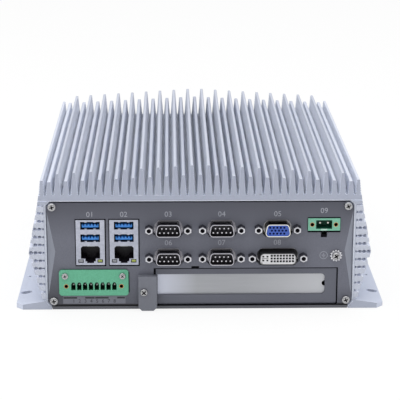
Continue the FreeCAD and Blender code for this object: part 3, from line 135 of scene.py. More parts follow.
def faceOutwards():
    pickAll()
    bpy.ops.mesh.normals_make_consistent(inside=False)


def leaveEdit():
    bpy.ops.object.mode_set(mode="OBJECT")


def joinAll(pieces, name):
    deselect()
    for piece in pieces:
        piece.select_set(True)
    bpy.context.view_layer.objects.active = pieces[0]
    if len(pieces) > 1:
        bpy.ops.object.join()
    pieces[0].name = name
    return pieces[0]


def moveBy(piece, shift):  # in mm
    use(piece)
    bpy.ops.transform.translate(value=Vector(shift) * mm)
    return applyPlace(piece)


def copyAt(piece, shift):  # a copy with its own mesh, moved by mm
    use(piece)
    bpy.ops.object.duplicate(linked=False)
    return moveBy(bpy.context.object, shift)


def applyModifier(piece, kind, **values):
    use(piece)
    modifier = piece.modifiers.new(kind.lower(), kind)
    for key, value in values.items():
        setattr(modifier, key, value)
    bpy.ops.object.modifier_apply(modifier=modifier.name)
    return piece


def roundEdges(piece, width, sharp=58):  # rounds the edges that are sharper than this many degrees
    return applyModifier(piece, "BEVEL", width=width * mm, segments=2, limit_method="ANGLE",
                         angle_limit=radians(sharp))


def cutAway(piece, cutter):
    applyModifier(piece, "BOOLEAN", operation="DIFFERENCE", object=cutter, solver="EXACT")
    bpy.data.objects.remove(cutter, do_unlink=True)
    return piece


def copyNode(node, name):  # a closed copy of a CAD node, ready to be cut
    use(nodes[node])
    bpy.ops.object.duplicate(linked=False)
    piece = bpy.context.object
    piece.name = name
    for key in [key for key in piece.keys() if key.startswith("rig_")]:
        del piece[key]
    piece.parent = None
    piece.matrix_world = Matrix.Identity(4)
    piece.data.materials.clear()
    pickAll()
    bpy.ops.mesh.remove_doubles(threshold=2 * near * mm)
    leaveEdit()
    return piece


def finish(piece, material, replaced=(), smooth=35, body=case):
    use(piece)
    bpy.ops.object.shade_smooth_by_angle(angle=radians(smooth))
    piece.data.materials.clear()
    piece.data.materials.append(material)
    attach(piece, body)
    if replaced:
        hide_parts(*replaced)
    return piece


# Node groups shared by the materials

def addNode(tree, kind, inputs=(), **settings):  # a shader node with its settings, links and constants
    node = tree.nodes.new("ShaderNode" + kind)
    for key, value in settings.items():
        setattr(node, key, value)
    for socket, source in dict(inputs).items():
        if isinstance(source, bpy.types.NodeSocket):
            tree.links.new(source, node.inputs[socket])
        else:
            node.inputs[socket].default_value = source
    return node


def newGroup(name, inputs, outputs):
    group = bpy.data.node_groups.new(name, "ShaderNodeTree")
    for label, kind, default in inputs:
        socket = group.interface.new_socket(label, in_out="INPUT", socket_type="NodeSocket" + kind)
        socket.default_value = default
    for label, kind in outputs:
        group.interface.new_socket(label, in_out="OUTPUT", socket_type="NodeSocket" + kind)
    return group, group.nodes.new("NodeGroupInput").outputs, group.nodes.new("NodeGroupOutput").inputs


grain = {"fineDetail": 4, "broadDetail": 2, "broadScale": 18, "fineShare": 0.6, "broadShare": 0.4,
         "low": 0.38, "high": 0.62, "bump": 0.5}


def surfaceGrain():  # fine uneven tone, gloss and bump, as on blasted, moulded or brushed surfaces
    group, given, out = newGroup("surfaceGrain", [
        ("Tone", "Color", (0.5, 0.5, 0.5, 1)), ("Shade", "Color", (0.4, 0.4, 0.4, 1)),
        ("Scale", "Float", 400.0), ("Stretch", "Vector", (1, 1, 1)),
        ("Gloss", "Float", 0.5), ("Gloss Spread", "Float", 0.1), ("Depth", "Float", 0.00002),
    ], [("Color", "Color"), ("Roughness", "Float"), ("Normal", "Vector")])
    place = addNode(group, "TexCoord")
    mapping = addNode(group, "Mapping", {"Vector": place.outputs["Object"], "Scale": given["Stretch"]})
    fine = addNode(group, "TexNoise", {"Vector": mapping.outputs["Vector"], "Scale": given["Scale"],
                                       "Detail": grain["fineDetail"]})
    broad = addNode(group, "TexNoise", {"Vector": mapping.outputs["Vector"], "Scale": grain["broadScale"],
                                        "Detail": grain["broadDetail"]})
    part = addNode(group, "Math", {0: broad.outputs["Fac"], 1: grain["broadShare"]}, operation="MULTIPLY")
    both = addNode(group, "Math", {0: fine.outputs["Fac"], 1: grain["fineShare"], 2: part.outputs["Value"]},
                   operation="MULTIPLY_ADD")
    spread = addNode(group, "MapRange", {"Value": both.outputs["Value"], "From Min": grain["low"],
                                         "From Max": grain["high"]})
    mix = addNode(group, "Mix", {"Factor": spread.outputs["Result"], "A": given["Shade"], "B": given["Tone"]},
                  data_type="RGBA")
    gloss = addNode(group, "Math", {0: spread.outputs["Result"], 1: given["Gloss Spread"], 2: given["Gloss"]},
                    operation="MULTIPLY_ADD")
    bump = addNode(group, "Bump", {"Strength": grain["bump"], "Distance": given["Depth"],
                                   "Height": fine.outputs["Fac"]})
    group.links.new(mix.outputs["Result"], out["Color"])
    group.links.new(gloss.outputs["Value"], out["Roughness"])
    group.links.new(bump.outputs["Normal"], out["Normal"])
    return group


def axisMask(name, byPlace):  # 0 below one measure along an axis and 1 above another
    group, given, out = newGroup(name, [
        ("Axis", "Vector", (0, 0, 1)), ("From", "Float", 0.0), ("To", "Float", 1.0),
    ], [("Mask", "Float")])
    if byPlace:  # the place on the object, in metres
        measured = addNode(group, "TexCoord").outputs["Object"]
    else:  # how far the surface faces along the axis, either way
        facing = addNode(group, "NewGeometry").outputs["Normal"]
        measured = addNode(group, "VectorMath", {0: facing}, operation="ABSOLUTE").outputs["Vector"]
    along = addNode(group, "VectorMath", {0: measured, 1: given["Axis"]}, operation="DOT_PRODUCT")
    spread = addNode(group, "MapRange", {"Value": along.outputs["Value"], "From Min": given["From"],
                                         "From Max": given["To"]})
    group.links.new(spread.outputs["Result"], out["Mask"])
    return group


grainGroup = surfaceGrain()
turnedGroup = axisMask("turnedMask", byPlace=False)
placeGroup = axisMask("placeMask", byPlace=True)


def addTone(tree, mask, tone):  # mixes a second tone over the base colour by a mask
    base = tree.nodes["Principled BSDF"].inputs["Base Color"]
    mix = addNode(tree, "Mix", {"Factor": mask, "A": base.links[0].from_socket, "B": (*tone, 1)},
                  data_type="RGBA")
    tree.links.new(mix.outputs["Result"], base)


# What a finish has where it says nothing else. The depth is the grain's height in metres. An entry of places
# or turned is an axis, the measures along it where a second tone starts and is full, and that tone. In the
# finishes below every such second tone is painted light or painted shade.
plainFinish = {"scale": 900, "stretch": (1, 1, 1), "depth": 0.00001, "roughSpread": 0.08, "metal": 0.0,
               "sheen": 0.5, "places": (), "turned": ()}


def grainMaterial(name, own):
    look = {**plainFinish, **own}
    material = bpy.data.materials.new(name)
    material.use_nodes = True
    tree = material.node_tree
    shader = tree.nodes["Principled BSDF"]
    surface = addNode(tree, "Group", {
        "Tone": (*look["tone"], 1), "Shade": (*look["shade"], 1), "Scale": look["scale"],
        "Stretch": look["stretch"], "Gloss": look["rough"], "Gloss Spread": look["roughSpread"],
        "Depth": look["depth"],
    }, node_tree=grainGroup)
    for output, socket in (("Color", "Base Color"), ("Roughness", "Roughness"), ("Normal", "Normal")):
        tree.links.new(surface.outputs[output], shader.inputs[socket])
    shader.inputs["Metallic"].default_value = look["metal"]
    shader.inputs["Specular IOR Level"].default_value = look["sheen"]
    for kind, group in (("places", placeGroup), ("turned", turnedGroup)):
        for axis, low, high, tone in look[kind]:
            mask = addNode(tree, "Group", {"Axis": axis, "From": low, "To": high}, node_tree=group)
            addTone(tree, mask.outputs["Mask"], tone)
    return material


finishes = {
    # The darker tone on faces that look to the front or back is painted shade, and so is the darker tone
    # below about 6 mm in height, over the flanges.
    "anodisedAlloy": {"tone": (0.73, 0.77, 0.86), "shade": (0.67, 0.71, 0.8), "depth": 0.00003, "rough": 0.6,
                      "metal": 0.05, "sheen": 0.2, "turned": [((0, 1, 0), 0.88, 0.96, (0.42, 0.45, 0.54))],
                      "places": [((0, 0, -1), -0.006, -0.0053, (0.6, 0.64, 0.75))]},
    # The lighter tone on faces that look up or down is painted light in the gaps between the side fins; the
    # front ends keep the darker base tone.
    "sideFinAlloy": {"tone": (0.56, 0.59, 0.68), "shade": (0.51, 0.54, 0.63), "depth": 0.00003, "rough": 0.6,
                     "metal": 0.05, "sheen": 0.2, "turned": [((0, 0, 1), 0.5, 0.9, (0.82, 0.85, 0.95))]},
    # The darker tone on the fins' front and back ends is painted shade, and the lighter tone low in the
    # valleys, from 92 mm down and full at 78.5 mm, is painted light.
    "finAlloy": {"tone": (0.56, 0.592, 0.685), "shade": (0.515, 0.546, 0.635), "depth": 0.00003, "rough": 0.6,
                 "metal": 0.05, "sheen": 0.2, "turned": [((0, 1, 0), 0.88, 0.96, (0.405, 0.435, 0.53))],
                 "places": [((0, 0, -1), -0.092, -0.0785, (0.86, 0.9, 1.0))]},
    # The lighter tone on faces that look sideways, as on the bevelled facets, is painted light. Darker
    # towards the top, towards the foot and in the lower left corner is painted shade, and the near-black band
    # below 3.6 mm is a painted shadow along the gap under the panel.
    "panelPaint": {"tone": (0.15, 0.157, 0.196), "shade": (0.125, 0.131, 0.166), "scale": 1500,
                   "depth": 0.00003, "rough": 0.5, "turned": [((1, 0, 0), 0.15, 0.3, (0.235, 0.25, 0.3))],
                   "places": [((0, 0, 1), 0.048, 0.073, (0.072, 0.075, 0.098)),
                              ((0, 0, -1), -0.016, -0.004, (0.092, 0.096, 0.122)),
                              ((-0.7, 0, -0.7), 0.04, 0.066, (0.055, 0.057, 0.072)),
                              ((0, 0, -1), -0.0037, -0.0036, (0.006, 0.006, 0.01))]},
    # The near-black tone on the top face, above 1.9 mm, is a painted shadow in the gap under the panels.
    "coverPaint": {"tone": (0.12, 0.124, 0.145), "shade": (0.1, 0.104, 0.122), "scale": 1500,
                   "depth": 0.00003, "rough": 0.45,
                   "places": [((0, 0, 1), 0.0019, 0.00195, (0.003, 0.003, 0.005))]},
    "slotPaint": {"tone": (0.125, 0.131, 0.165), "shade": (0.11, 0.116, 0.146), "scale": 1500,
                  "depth": 0.00002, "rough": 0.5},
    "holdDownPaint": {"tone": (0.18, 0.188, 0.225), "shade": (0.16, 0.168, 0.2), "scale": 1500,
                      "depth": 0.00002, "rough": 0.5},
    "tinPlate": {"tone": (0.52, 0.54, 0.63), "shade": (0.4, 0.42, 0.5), "scale": 500, "rough": 0.3,
                 "metal": 0.8},
    # Everything behind the front rim of the serial shells takes a dark tone, painted shade.
    "shellPlate": {"tone": (0.56, 0.55, 0.6), "shade": (0.46, 0.45, 0.5), "scale": 700, "rough": 0.16,
                   "metal": 1.0, "places": [((0, 1, 0), -0.1221, -0.1218, (0.2, 0.195, 0.22))]},
    # Everything behind the front rim of the VGA shell takes a near-black tone, painted shade.
    "goldPlate": {"tone": (0.9, 0.89, 0.84), "shade": (0.8, 0.79, 0.74), "scale": 700, "rough": 0.16,
                  "metal": 1.0, "places": [((0, 1, 0), -0.1218, -0.121, (0.045, 0.043, 0.04))]},
    "darkPlate": {"tone": (0.03, 0.03, 0.034), "shade": (0.02, 0.02, 0.024), "scale": 700, "rough": 0.3,
                  "metal": 0.6},
    "flangePlate": {"tone": (0.62, 0.61, 0.64), "shade": (0.52, 0.51, 0.54), "rough": 0.3, "metal": 0.3},
    # The dark tone on faces that look up or down, as on the tops of the jackscrew heads, is painted shade.
    "nickelPlate": {"tone": (0.7, 0.7, 0.74), "shade": (0.54, 0.54, 0.58), "rough": 0.14, "metal": 1.0,
                    "turned": [((0, 0, 1), 0.2, 0.5, (0.13, 0.13, 0.15))]},
    "screwSteel": {"tone": (0.5, 0.5, 0.51), "shade": (0.38, 0.38, 0.39), "scale": 1200, "rough": 0.22,
                   "metal": 1.0},
    "boreShade": {"tone": (0.006, 0.006, 0.008), "shade": (0.004, 0.004, 0.006), "rough": 0.7, "sheen": 0.03},
    # The lighter tone towards the left end, from 2 mm left of the middle and full at 30 mm, and the slightly
    # lighter tone towards the right end, from 30 mm and full at 80 mm, are painted light.
    "slotSteel": {"tone": (0.415, 0.425, 0.45), "shade": (0.375, 0.385, 0.41), "scale": 500,
                  "stretch": (0.06, 1, 1), "rough": 0.36, "metal": 0.55,
                  "places": [((-1, 0, 0), 0.002, 0.03, (0.66, 0.69, 0.8)),
                             ((1, 0, 0), 0.03, 0.08, (0.53, 0.54, 0.57))]},
    "blackPlastic": {"tone": (0.014, 0.01, 0.02), "shade": (0.009, 0.006, 0.013), "scale": 1800,
                     "rough": 0.42},
    "tongueBlue": {"tone": (0.075, 0.36, 0.98), "shade": (0.06, 0.31, 0.9), "rough": 0.38},
    "portBlue": {"tone": (0.045, 0.115, 0.5), "shade": (0.036, 0.092, 0.42), "rough": 0.4},
    # The dark blue of the plate behind the VGA holes is painted shade.
    "holeShadeBlue": {"tone": (0.003, 0.008, 0.07), "shade": (0.002, 0.006, 0.05), "rough": 0.6, "sheen": 0.1},
    "portWhite": {"tone": (0.72, 0.72, 0.74), "shade": (0.66, 0.66, 0.68), "rough": 0.42},
    # The dark tone behind the header's face, in its ways, is painted shade.
    "headerGreen": {"tone": (0.13, 0.46, 0.29), "shade": (0.105, 0.4, 0.245), "scale": 1100, "depth": 0.00002,
                    "rough": 0.46, "places": [((0, 1, 0), -0.1176, -0.1168, (0.008, 0.085, 0.04))]},
    # The dark tone behind the input's face, in its cavity, is painted shade.
    "inputGreen": {"tone": (0.2, 0.5, 0.36), "shade": (0.17, 0.44, 0.31), "scale": 1100, "depth": 0.00002,
                   "rough": 0.46, "places": [((0, 1, 0), -0.1171, -0.1163, (0.01, 0.12, 0.07))]},
    # A paler copy of the input's green, painted light on the lip under its cavity.
    "inputLitGreen": {"tone": (0.46, 0.68, 0.58), "shade": (0.4, 0.62, 0.52), "scale": 1100, "rough": 0.46},
    # The dark tone behind the inserts' faces, in their holes, is painted shade.
    "brass": {"tone": (0.74, 0.38, 0.16), "shade": (0.58, 0.28, 0.11), "rough": 0.28, "metal": 0.9,
              "places": [((0, 1, 0), -0.1172, -0.116, (0.05, 0.015, 0.008))]},
    "dimPlate": {"tone": (0.42, 0.46, 0.42), "shade": (0.34, 0.38, 0.34), "rough": 0.3, "metal": 0.5},
    "pinPlate": {"tone": (0.7, 0.68, 0.62), "shade": (0.56, 0.54, 0.5), "rough": 0.18, "metal": 0.9},
    # The dark tone on the pins behind 121.3 mm, deep in their sockets, is painted shade.
    "portPinPlate": {"tone": (0.74, 0.73, 0.78), "shade": (0.64, 0.63, 0.68), "rough": 0.25, "metal": 0.6,
                     "places": [((0, 1, 0), -0.1213, -0.121, (0.05, 0.045, 0.06))]},
    "lampGreen": {"tone": (0.42, 0.47, 0.1), "shade": (0.34, 0.4, 0.08), "scale": 500, "rough": 0.22},
    "lampGrey": {"tone": (0.33, 0.34, 0.37), "shade": (0.27, 0.28, 0.31), "scale": 500, "rough": 0.22},
    "boardGreen": {"tone": (0.02, 0.125, 0.06), "shade": (0.015, 0.1, 0.045), "scale": 300, "rough": 0.3},
    "chipBlack": {"tone": (0.03, 0.03, 0.032), "shade": (0.022, 0.022, 0.024), "scale": 800, "rough": 0.5},
    "milledAlloy": {"tone": (0.74, 0.75, 0.77), "shade": (0.66, 0.67, 0.69), "scale": 500,
                    "stretch": (0.1, 1, 1), "rough": 0.32, "metal": 0.9},
    "zincSheet": {"tone": (0.58, 0.59, 0.6), "shade": (0.5, 0.51, 0.52), "scale": 200, "rough": 0.34,
                  "metal": 0.9},
    "stripGrey": {"tone": (0.19, 0.195, 0.235), "shade": (0.165, 0.17, 0.205), "scale": 1200, "rough": 0.5},
    "printDark": {"tone": (0.022, 0.023, 0.03), "shade": (0.018, 0.019, 0.025), "scale": 1200, "rough": 0.5},
    "printPale": {"tone": (0.36, 0.37, 0.42), "shade": (0.32, 0.33, 0.38), "scale": 1200, "rough": 0.5},
}
looks = {name: grainMaterial(name, own) for name, own in finishes.items()}
slotLooks = {
    "body_alloy": "anodisedAlloy", "panel_paint": "panelPaint", "cover_paint": "coverPaint",
    "screw_steel": "screwSteel", "tin_plate": "tinPlate", "slot_steel": "slotSteel",
    "black_plastic": "blackPlastic", "tongue_blue": "tongueBlue", "port_blue": "portBlue",
    "port_white": "portWhite", "header_green": "headerGreen", "brass": "brass", "pin_metal": "pinPlate",
    "lamp_clear": "lampGreen", "board": "boardGreen", "chip": "chipBlack", "spreader_alloy": "milledAlloy",
    "bracket_zinc": "zincSheet", "button_steel": "screwSteel",
}
nodeLooks = {
    "dc_header": "inputGreen", "slot_frame": "slotPaint", "slot_hold_down": "holdDownPaint",
    "vga_shell": "goldPlate", "dvi_shell": "darkPlate", "com_pins": "portPinPlate", "gpio_pins": "dimPlate",
    **{"com_shell_" + str(port): "shellPlate" for port in range(1, 5)},
}
for part in frame["record"]["subparts"]:
    node = nodes[part["node"]]
    material = looks[nodeLooks.get(part["node"], slotLooks[part["material_slot"]])]
    node.data.materials.clear()
    node.data.materials.append(material)
print("materials on the CAD nodes")


# Top heatsink: roof block, two edge fins and two interleaved rows of rippled fins

heatsink = {
    "depth": 232.5, "seamHeight": 73.2, "seamReach": 104.6, "valley": 77.4, "pitch": 5.39, "chamfer": 0.8,
    "sink": 1.4, "edgeTop": 87.4, "edgeReach": 102.4, "edgeTip": 1.3, "edgeRoot": 3.5, "edgeRipples": 7,
    "crest": 0.64, "tipCrest": 0.4, "dip": 0.45, "rounding": 0.2, "tipRounding": 0.3,
}
tallFin = {"count": 18, "middle": 97.6, "side": 91.8, "tip": 1.3, "root": 4.2, "ripples": 14}
shortFin = {"count": 19, "middle": 91.2, "side": 86.4, "tip": 1.7, "root": 3.8, "ripples": 9}


def extrudeRipples(depth, axis, low, high, rounding):  # the profile becomes a bar with rounded ripples
    pickAll()
    bpy.ops.mesh.extrude_region_move(TRANSFORM_OT_translate={"value": (0, depth * mm, 0)})
    faceOutwards()
    editPick("EDGE", lambda edge: span(edge, "y") > near
             and low + near < getattr(edge.verts[0].co, axis) / mm < high - near)
    bpy.ops.mesh.bevel(offset=rounding * mm, segments=2, affect="EDGES")
    leaveEdit()


def rippledFin(name, across, low, high, root, tip, ripples):  # one straight fin, front to back
    front = -heatsink["depth"] / 2
    piece = addUpright(name, (0, front, (low + high) / 2), root, high - low)
    editPick("VERT", lambda vert: isAt(vert, "z", high))
    bpy.ops.transform.resize(value=(tip / root, 1, 1), center_override=(0, front * mm, high * mm))
    editPick("EDGE", lambda edge: span(edge, "z") > near)
    rows = 2 * ripples  # even rows are dips and odd rows are crests
    bpy.ops.mesh.subdivide(number_cuts=rows - 1)
    for side in (1, -1):
        for row in range(1, rows):
            share = row / rows
            push = heatsink["crest"] + (heatsink["tipCrest"] - heatsink["crest"]) * share
            if row % 2 == 0:
                push = -heatsink["dip"] * (1 - share)
            height = low + (high - low) * share
            editPick("VERT", lambda vert: vert.co.x * side > 0 and isAt(vert, "z", height))
            bpy.ops.transform.translate(value=(side * push * mm, 0, 0))
    extrudeRipples(heatsink["depth"], "z", low, high, heatsink["rounding"])
    return moveBy(piece, (across, 0, 0))


def finRow(name, fin):  # the row's tips fall away from the middle to both sides
    pitch = heatsink["pitch"]
    reach = (fin["count"] - 1) * pitch
    low = heatsink["valley"] - heatsink["sink"]
    pieces = []
    for index in range((fin["count"] + 1) // 2):
        across = reach - 2 * pitch * index
        high = fin["middle"] - (fin["middle"] - fin["side"]) * across / reach
        piece = rippledFin(name, across, low, high, fin["root"], fin["tip"], fin["ripples"])
        pieces.append(piece)
        if across > pitch / 2:
            pieces.append(copyAt(piece, (-2 * across, 0, 0)))
    return joinAll(pieces, name)


def edgeFin(side):
    middle = heatsink["edgeReach"] - heatsink["edgeTip"] / 2
    return rippledFin("edgeFin", side * middle, heatsink["valley"] - heatsink["sink"], heatsink["edgeTop"],
                      heatsink["edgeRoot"], heatsink["edgeTip"], heatsink["edgeRipples"])


def heatsinkRoof():
    seam, valley = heatsink["seamHeight"], heatsink["valley"]
    reach, half = heatsink["seamReach"], heatsink["depth"] / 2
    piece = addCube("roof", (-reach, -half, seam), (reach, half, valley))
    slant = (reach - heatsink["edgeReach"]) / (heatsink["edgeTop"] - seam)
    topReach = reach - slant * (valley - seam)
    editPick("VERT", lambda vert: isAt(vert, "z", valley))
    bpy.ops.transform.resize(value=(topReach / reach, 1, 1), center_override=(0, 0, valley * mm))
    editPick("EDGE", lambda edge: bothAt(edge, "z", seam) and span(edge, "x") > near)
    bpy.ops.mesh.bevel(offset=heatsink["chamfer"] * mm, segments=1, affect="EDGES")
    leaveEdit()
    return piece


fins = joinAll([finRow("tallFins", tallFin), finRow("shortFins", shortFin), edgeFin(1), edgeFin(-1)], "fins")
roundEdges(fins, heatsink["tipRounding"])
pickAll()
bpy.ops.mesh.bisect(plane_co=(0, 0, heatsink["valley"] * mm), plane_no=(0, 0, 1), use_fill=True,
                    clear_inner=True)
leaveEdit()
heatsinkTop = joinAll([heatsinkRoof(), fins], "heatsinkTop")
finish(heatsinkTop, looks["finAlloy"], ["top_heatsink"], smooth=40)
applyModifier(heatsinkTop, "WEIGHTED_NORMAL", keep_sharp=True)
print("top heatsink")


# Side walls: rippled fins over the plain ones of the extrusion

sideFin = {
    "count": 12, "pitch": 5.35, "top": 68.2, "root": 3.66, "tip": 2.26, "start": 100.8, "blank": 112.5,
    "ripples": 4, "crest": 2.5, "depth": 232.56, "reachTop": 105.03, "shoulder": 70.6, "reachMiddle": 111.23,
    "middle": 38.9, "reachBottom": 102.93, "bottom": 6.8, "rounding": 0.25, "edgeRounding": 0.2,
}


def bowOutline(reach, height):  # cuts the fins' tips along a slope from the middle to the top or the bottom
    rise = height - sideFin["middle"]
    run = sideFin["reachMiddle"] - reach
    normal = Vector((abs(rise), 0, run if rise > 0 else -run)).normalized()
    pickAll()
    bpy.ops.mesh.bisect(plane_co=(sideFin["reachMiddle"] * mm, 0, sideFin["middle"] * mm), plane_no=normal,
                        use_fill=True, clear_outer=True)


def sideFins(name, side):
    start, blank, top = sideFin["start"], sideFin["blank"], sideFin["top"]
    root, tip, front = sideFin["root"], sideFin["tip"], -sideFin["depth"] / 2
    piece = addUpright(name, ((start + blank) / 2, front, top), blank - start, root)
    editPick("VERT", lambda vert: isAt(vert, "x", blank))
    bpy.ops.transform.resize(value=(1, 1, tip / root), center_override=(blank * mm, front * mm, top * mm))
    editPick("EDGE", lambda edge: span(edge, "x") > near)
    rows = 4 * sideFin["ripples"]  # a ripple is four rows long and has its crest on the second
    bpy.ops.mesh.subdivide(number_cuts=rows - 1)
    for row in range(2, rows, 4):
        half = (root + (tip - root) * row / rows) / 2
        across = start + (blank - start) * row / rows
        editPick("VERT", lambda vert: isAt(vert, "x", across))
        bpy.ops.transform.resize(value=(1, 1, sideFin["crest"] / half), center_override=(0, 0, top * mm))
    extrudeRipples(sideFin["depth"], "x", start, blank, sideFin["rounding"])
    applyModifier(piece, "ARRAY", count=sideFin["count"], use_relative_offset=False, use_constant_offset=True,
                  constant_offset_displace=(0, 0, -sideFin["pitch"] * mm))
    bowOutline(sideFin["reachTop"], sideFin["shoulder"])
    bowOutline(sideFin["reachBottom"], sideFin["bottom"])
    leaveEdit()
    roundEdges(piece, sideFin["edgeRounding"])
    if side < 0:
        use(piece)
        bpy.ops.transform.mirror(constraint_axis=(True, False, False), center_override=(0, 0, 0))
        applyPlace(piece)
        faceOutwards()
        leaveEdit()
    return finish(piece, looks["sideFinAlloy"], smooth=40)


sideFins("rightFins", 1)
sideFins("leftFins", -1)
print("side fins")


# Screws with domed heads and cross recesses. A place is x, z and the turn of the recess, in radians.

panelReach = 116.25  # how far the outer faces of the front and rear panels are from the middle
crossHead = {"sides": 28, "dome": 0.6, "domeSteps": 5, "foot": 0.3, "past": 0.5, "shadeFoot": 0.25,
             "shadeGap": 0.02, "shankSides": 12, "overlap": 0.1}
screwSets = {
    "panel_screws": {"name": "cornerScrews", "head": 2.75, "tall": 2.0, "shank": 1.5, "bite": 11.0,
                     "recess": 1.45, "arm": 0.4, "shade": 0.55, "raised": 0.0, "ends": (-1, 1),
                     "places": ((95.5, 69.9, 8.29), (95.5, 6.0, 1.9), (-95.5, 69.9, 6.49),
                                (-95.5, 6.0, 0.1))},
    "gpio_screws": {"name": "headerScrews", "head": 2.2, "tall": 1.3, "shank": 1.0, "bite": 4.5,
                    "recess": 1.05, "arm": 0.26, "shade": 0.5, "raised": 1.5, "ends": (-1,),
                    "places": ((-50.6, 23.4, 0.8), (-87.9, 23.4, 0.2))},
    "hold_down_screw": {"name": "holdDownScrew", "head": 2.55, "tall": 2.0, "shank": 1.5, "bite": 7.5,
                        "recess": 1.6, "arm": 0.4, "shade": 0.7, "raised": 4.5, "ends": (-1,),
                        "places": ((-36.6, 13.2, 0.72),)},
    "earth_screw": {"name": "earthScrew", "head": 2.75, "tall": 2.4, "shank": 1.5, "bite": 3.8,
                    "recess": 1.6, "arm": 0.45, "shade": 0.7, "raised": 0.8, "ends": (-1,),
                    "places": ((88.4, 36.4, 0.6),)},
}


def crossArms(size, centre, outwards, turn, foot, top, gap=0.0):  # the two bars of a cross above the seat
    x, y, z = centre
    arms = []
    for wide, tall in ((size["recess"] - gap, size["arm"] - gap), (size["arm"] - gap, size["recess"] - gap)):
        arm = addBlock("arm", x, z, 2 * wide, 2 * tall, y + outwards * foot, y + outwards * top)
        bpy.ops.transform.rotate(value=turn, orient_axis="Y", center_override=Vector(centre) * mm)
        arms.append(applyPlace(arm))
    return arms


def crossScrew(size, centre, outwards, turn):  # centre is on the seat, outwards is -1 to the front
    x, y, z = centre
    tall, bite = size["tall"], size["bite"]
    head = addRod(size["name"], (x, y + outwards * tall / 2, z), size["head"], tall, crossHead["sides"])
    editPick("EDGE", lambda edge: bothAt(edge, "y", y + outwards * tall))
    bpy.ops.mesh.bevel(offset=tall * crossHead["dome"] * mm, segments=crossHead["domeSteps"], affect="EDGES")
    leaveEdit()
    for arm in crossArms(size, centre, outwards, turn, tall * crossHead["foot"], tall + crossHead["past"]):
        cutAway(head, arm)
    shank = addRod("shank", (x, y - outwards * (bite / 2 - crossHead["overlap"]), z), size["shank"], bite,
                   crossHead["shankSides"])
    return joinAll([head, shank], size["name"])


def recessShade(size, centre, outwards, turn):  # a dark cross of painted shade low in a cross recess
    return crossArms(size, centre, outwards, turn, size["tall"] * crossHead["shadeFoot"],
                     size["tall"] * size["shade"], crossHead["shadeGap"])


recessShades = []
for node, size in screwSets.items():
    places = [((x, end * (panelReach + size["raised"]), z), end, turn)
              for end in size["ends"] for x, z, turn in size["places"]]
    screws = [crossScrew(size, *place) for place in places]
    for place in places:
        recessShades += recessShade(size, *place)
    finish(joinAll(screws, size["name"]), looks["screwSteel"], [node])
finish(joinAll(recessShades, "recessShades"), looks["boreShade"])
print("screws")


# The six ports with jackscrews. The spread is how far each screw is from the middle, and the other sizes are
# those of the port and of the bright line round it.

smallPort = {"spread": 12.5, "wide": 16.9, "tall": 8.3, "taper": 1.45, "line": 0.75}
ports = [{**smallPort, "middle": middle, "height": height}
         for middle in (-20.6, 13.9) for height in (55.0, 35.8)]
ports.append({**smallPort, "middle": 50.05, "height": 55.0, "line": 1.2})
ports.append({"middle": 50.3, "height": 35.8, "spread": 16.65, "wide": 24.6, "tall": 8.2, "taper": 0.8,
              "line": 0.35})


# Jackscrews: hexagonal heads with a turned front edge and a threaded hole

# floor is how far into each bore its dark plate of painted shade sits, in mm
jackscrew = {"radius": 2.88, "length": 5.5, "front": -121.75, "edge": 0.55, "edgeSteps": 3, "bore": 1.45,
             "boreDepth": 4.6, "boreSides": 20, "shank": 1.35, "bite": 7.2, "shankSides": 12, "overlap": 0.1,
             "floor": 1.1, "boreShadeThick": 0.4, "boreShadeGap": 0.02}


def makeJackscrews():
    front, length, bite = jackscrew["front"], jackscrew["length"], jackscrew["bite"]
    head = addRod("head", (0, front + length / 2, 0), jackscrew["radius"], length, 6)
    editPick("EDGE", lambda edge: bothAt(edge, "y", front))
    bpy.ops.mesh.bevel(offset=jackscrew["edge"] * mm, segments=jackscrew["edgeSteps"], affect="EDGES")
    leaveEdit()
    cutAway(head, addRod("bore", (0, front, 0), jackscrew["bore"], 2 * jackscrew["boreDepth"],
                         jackscrew["boreSides"]))
    shank = addRod("shank", (0, front + length + bite / 2 - jackscrew["overlap"], 0), jackscrew["shank"],
                   bite, jackscrew["shankSides"])
    single = joinAll([head, shank], "jackscrew")
    places = [(port["middle"] + side * port["spread"], port["height"]) for port in ports for side in (-1, 1)]
    copies = [copyAt(single, (x, 0, z)) for x, z in places]
    bpy.data.objects.remove(single, do_unlink=True)
    finish(joinAll(copies, "jackscrewSet"), looks["nickelPlate"], ["jackscrews"])
    # A dark plate in each bore is painted shade in the hole.
    shadePlates = [addRod("floor", (x, front + jackscrew["floor"], z), jackscrew["bore"] - jackscrew["boreShadeGap"],
                     jackscrew["boreShadeThick"], jackscrew["boreSides"]) for x, z in places]
    return finish(joinAll(shadePlates, "boreShadePlates"), looks["boreShade"])


makeJackscrews()


# Bright stamped edges of the port flanges, seen in the gaps of the panel's cut-outs

flangeEdge = {"seat": -113.25, "thick": 0.12, "gap": 1.6, "rise": 0.7, "round": 3.6, "roundSteps": 5}


def portBlock(port, wide, tall, depth):  # a rounded port outline, narrower at its foot
    middle, height, seat = port["middle"], port["height"], flangeEdge["seat"]
    block = addBlock("block", middle, height, wide, tall, seat - depth, seat + depth)
    editPick("VERT", lambda vert: vert.co.z < height * mm)
    bpy.ops.transform.resize(value=((wide - 2 * port["taper"]) / wide, 1, 1),
                             center_override=(middle * mm, 0, 0))
    editPick("EDGE", lambda edge: span(edge, "y") > near)
    bpy.ops.mesh.bevel(offset=flangeEdge["round"] * mm, segments=flangeEdge["roundSteps"], affect="EDGES")
    leaveEdit()
    return block


def makeFlangeEdges():
    rings = []
    for port in ports:
        wide, tall = port["wide"] + 2 * flangeEdge["gap"], port["tall"] + 2 * flangeEdge["rise"]
        ring = portBlock(port, wide, tall, flangeEdge["thick"])
        inner = portBlock(port, wide - 2 * port["line"], tall - 2 * port["line"], 2 * spare)
        rings.append(cutAway(ring, inner))
    return finish(joinAll(rings, "flangeEdges"), looks["flangePlate"])


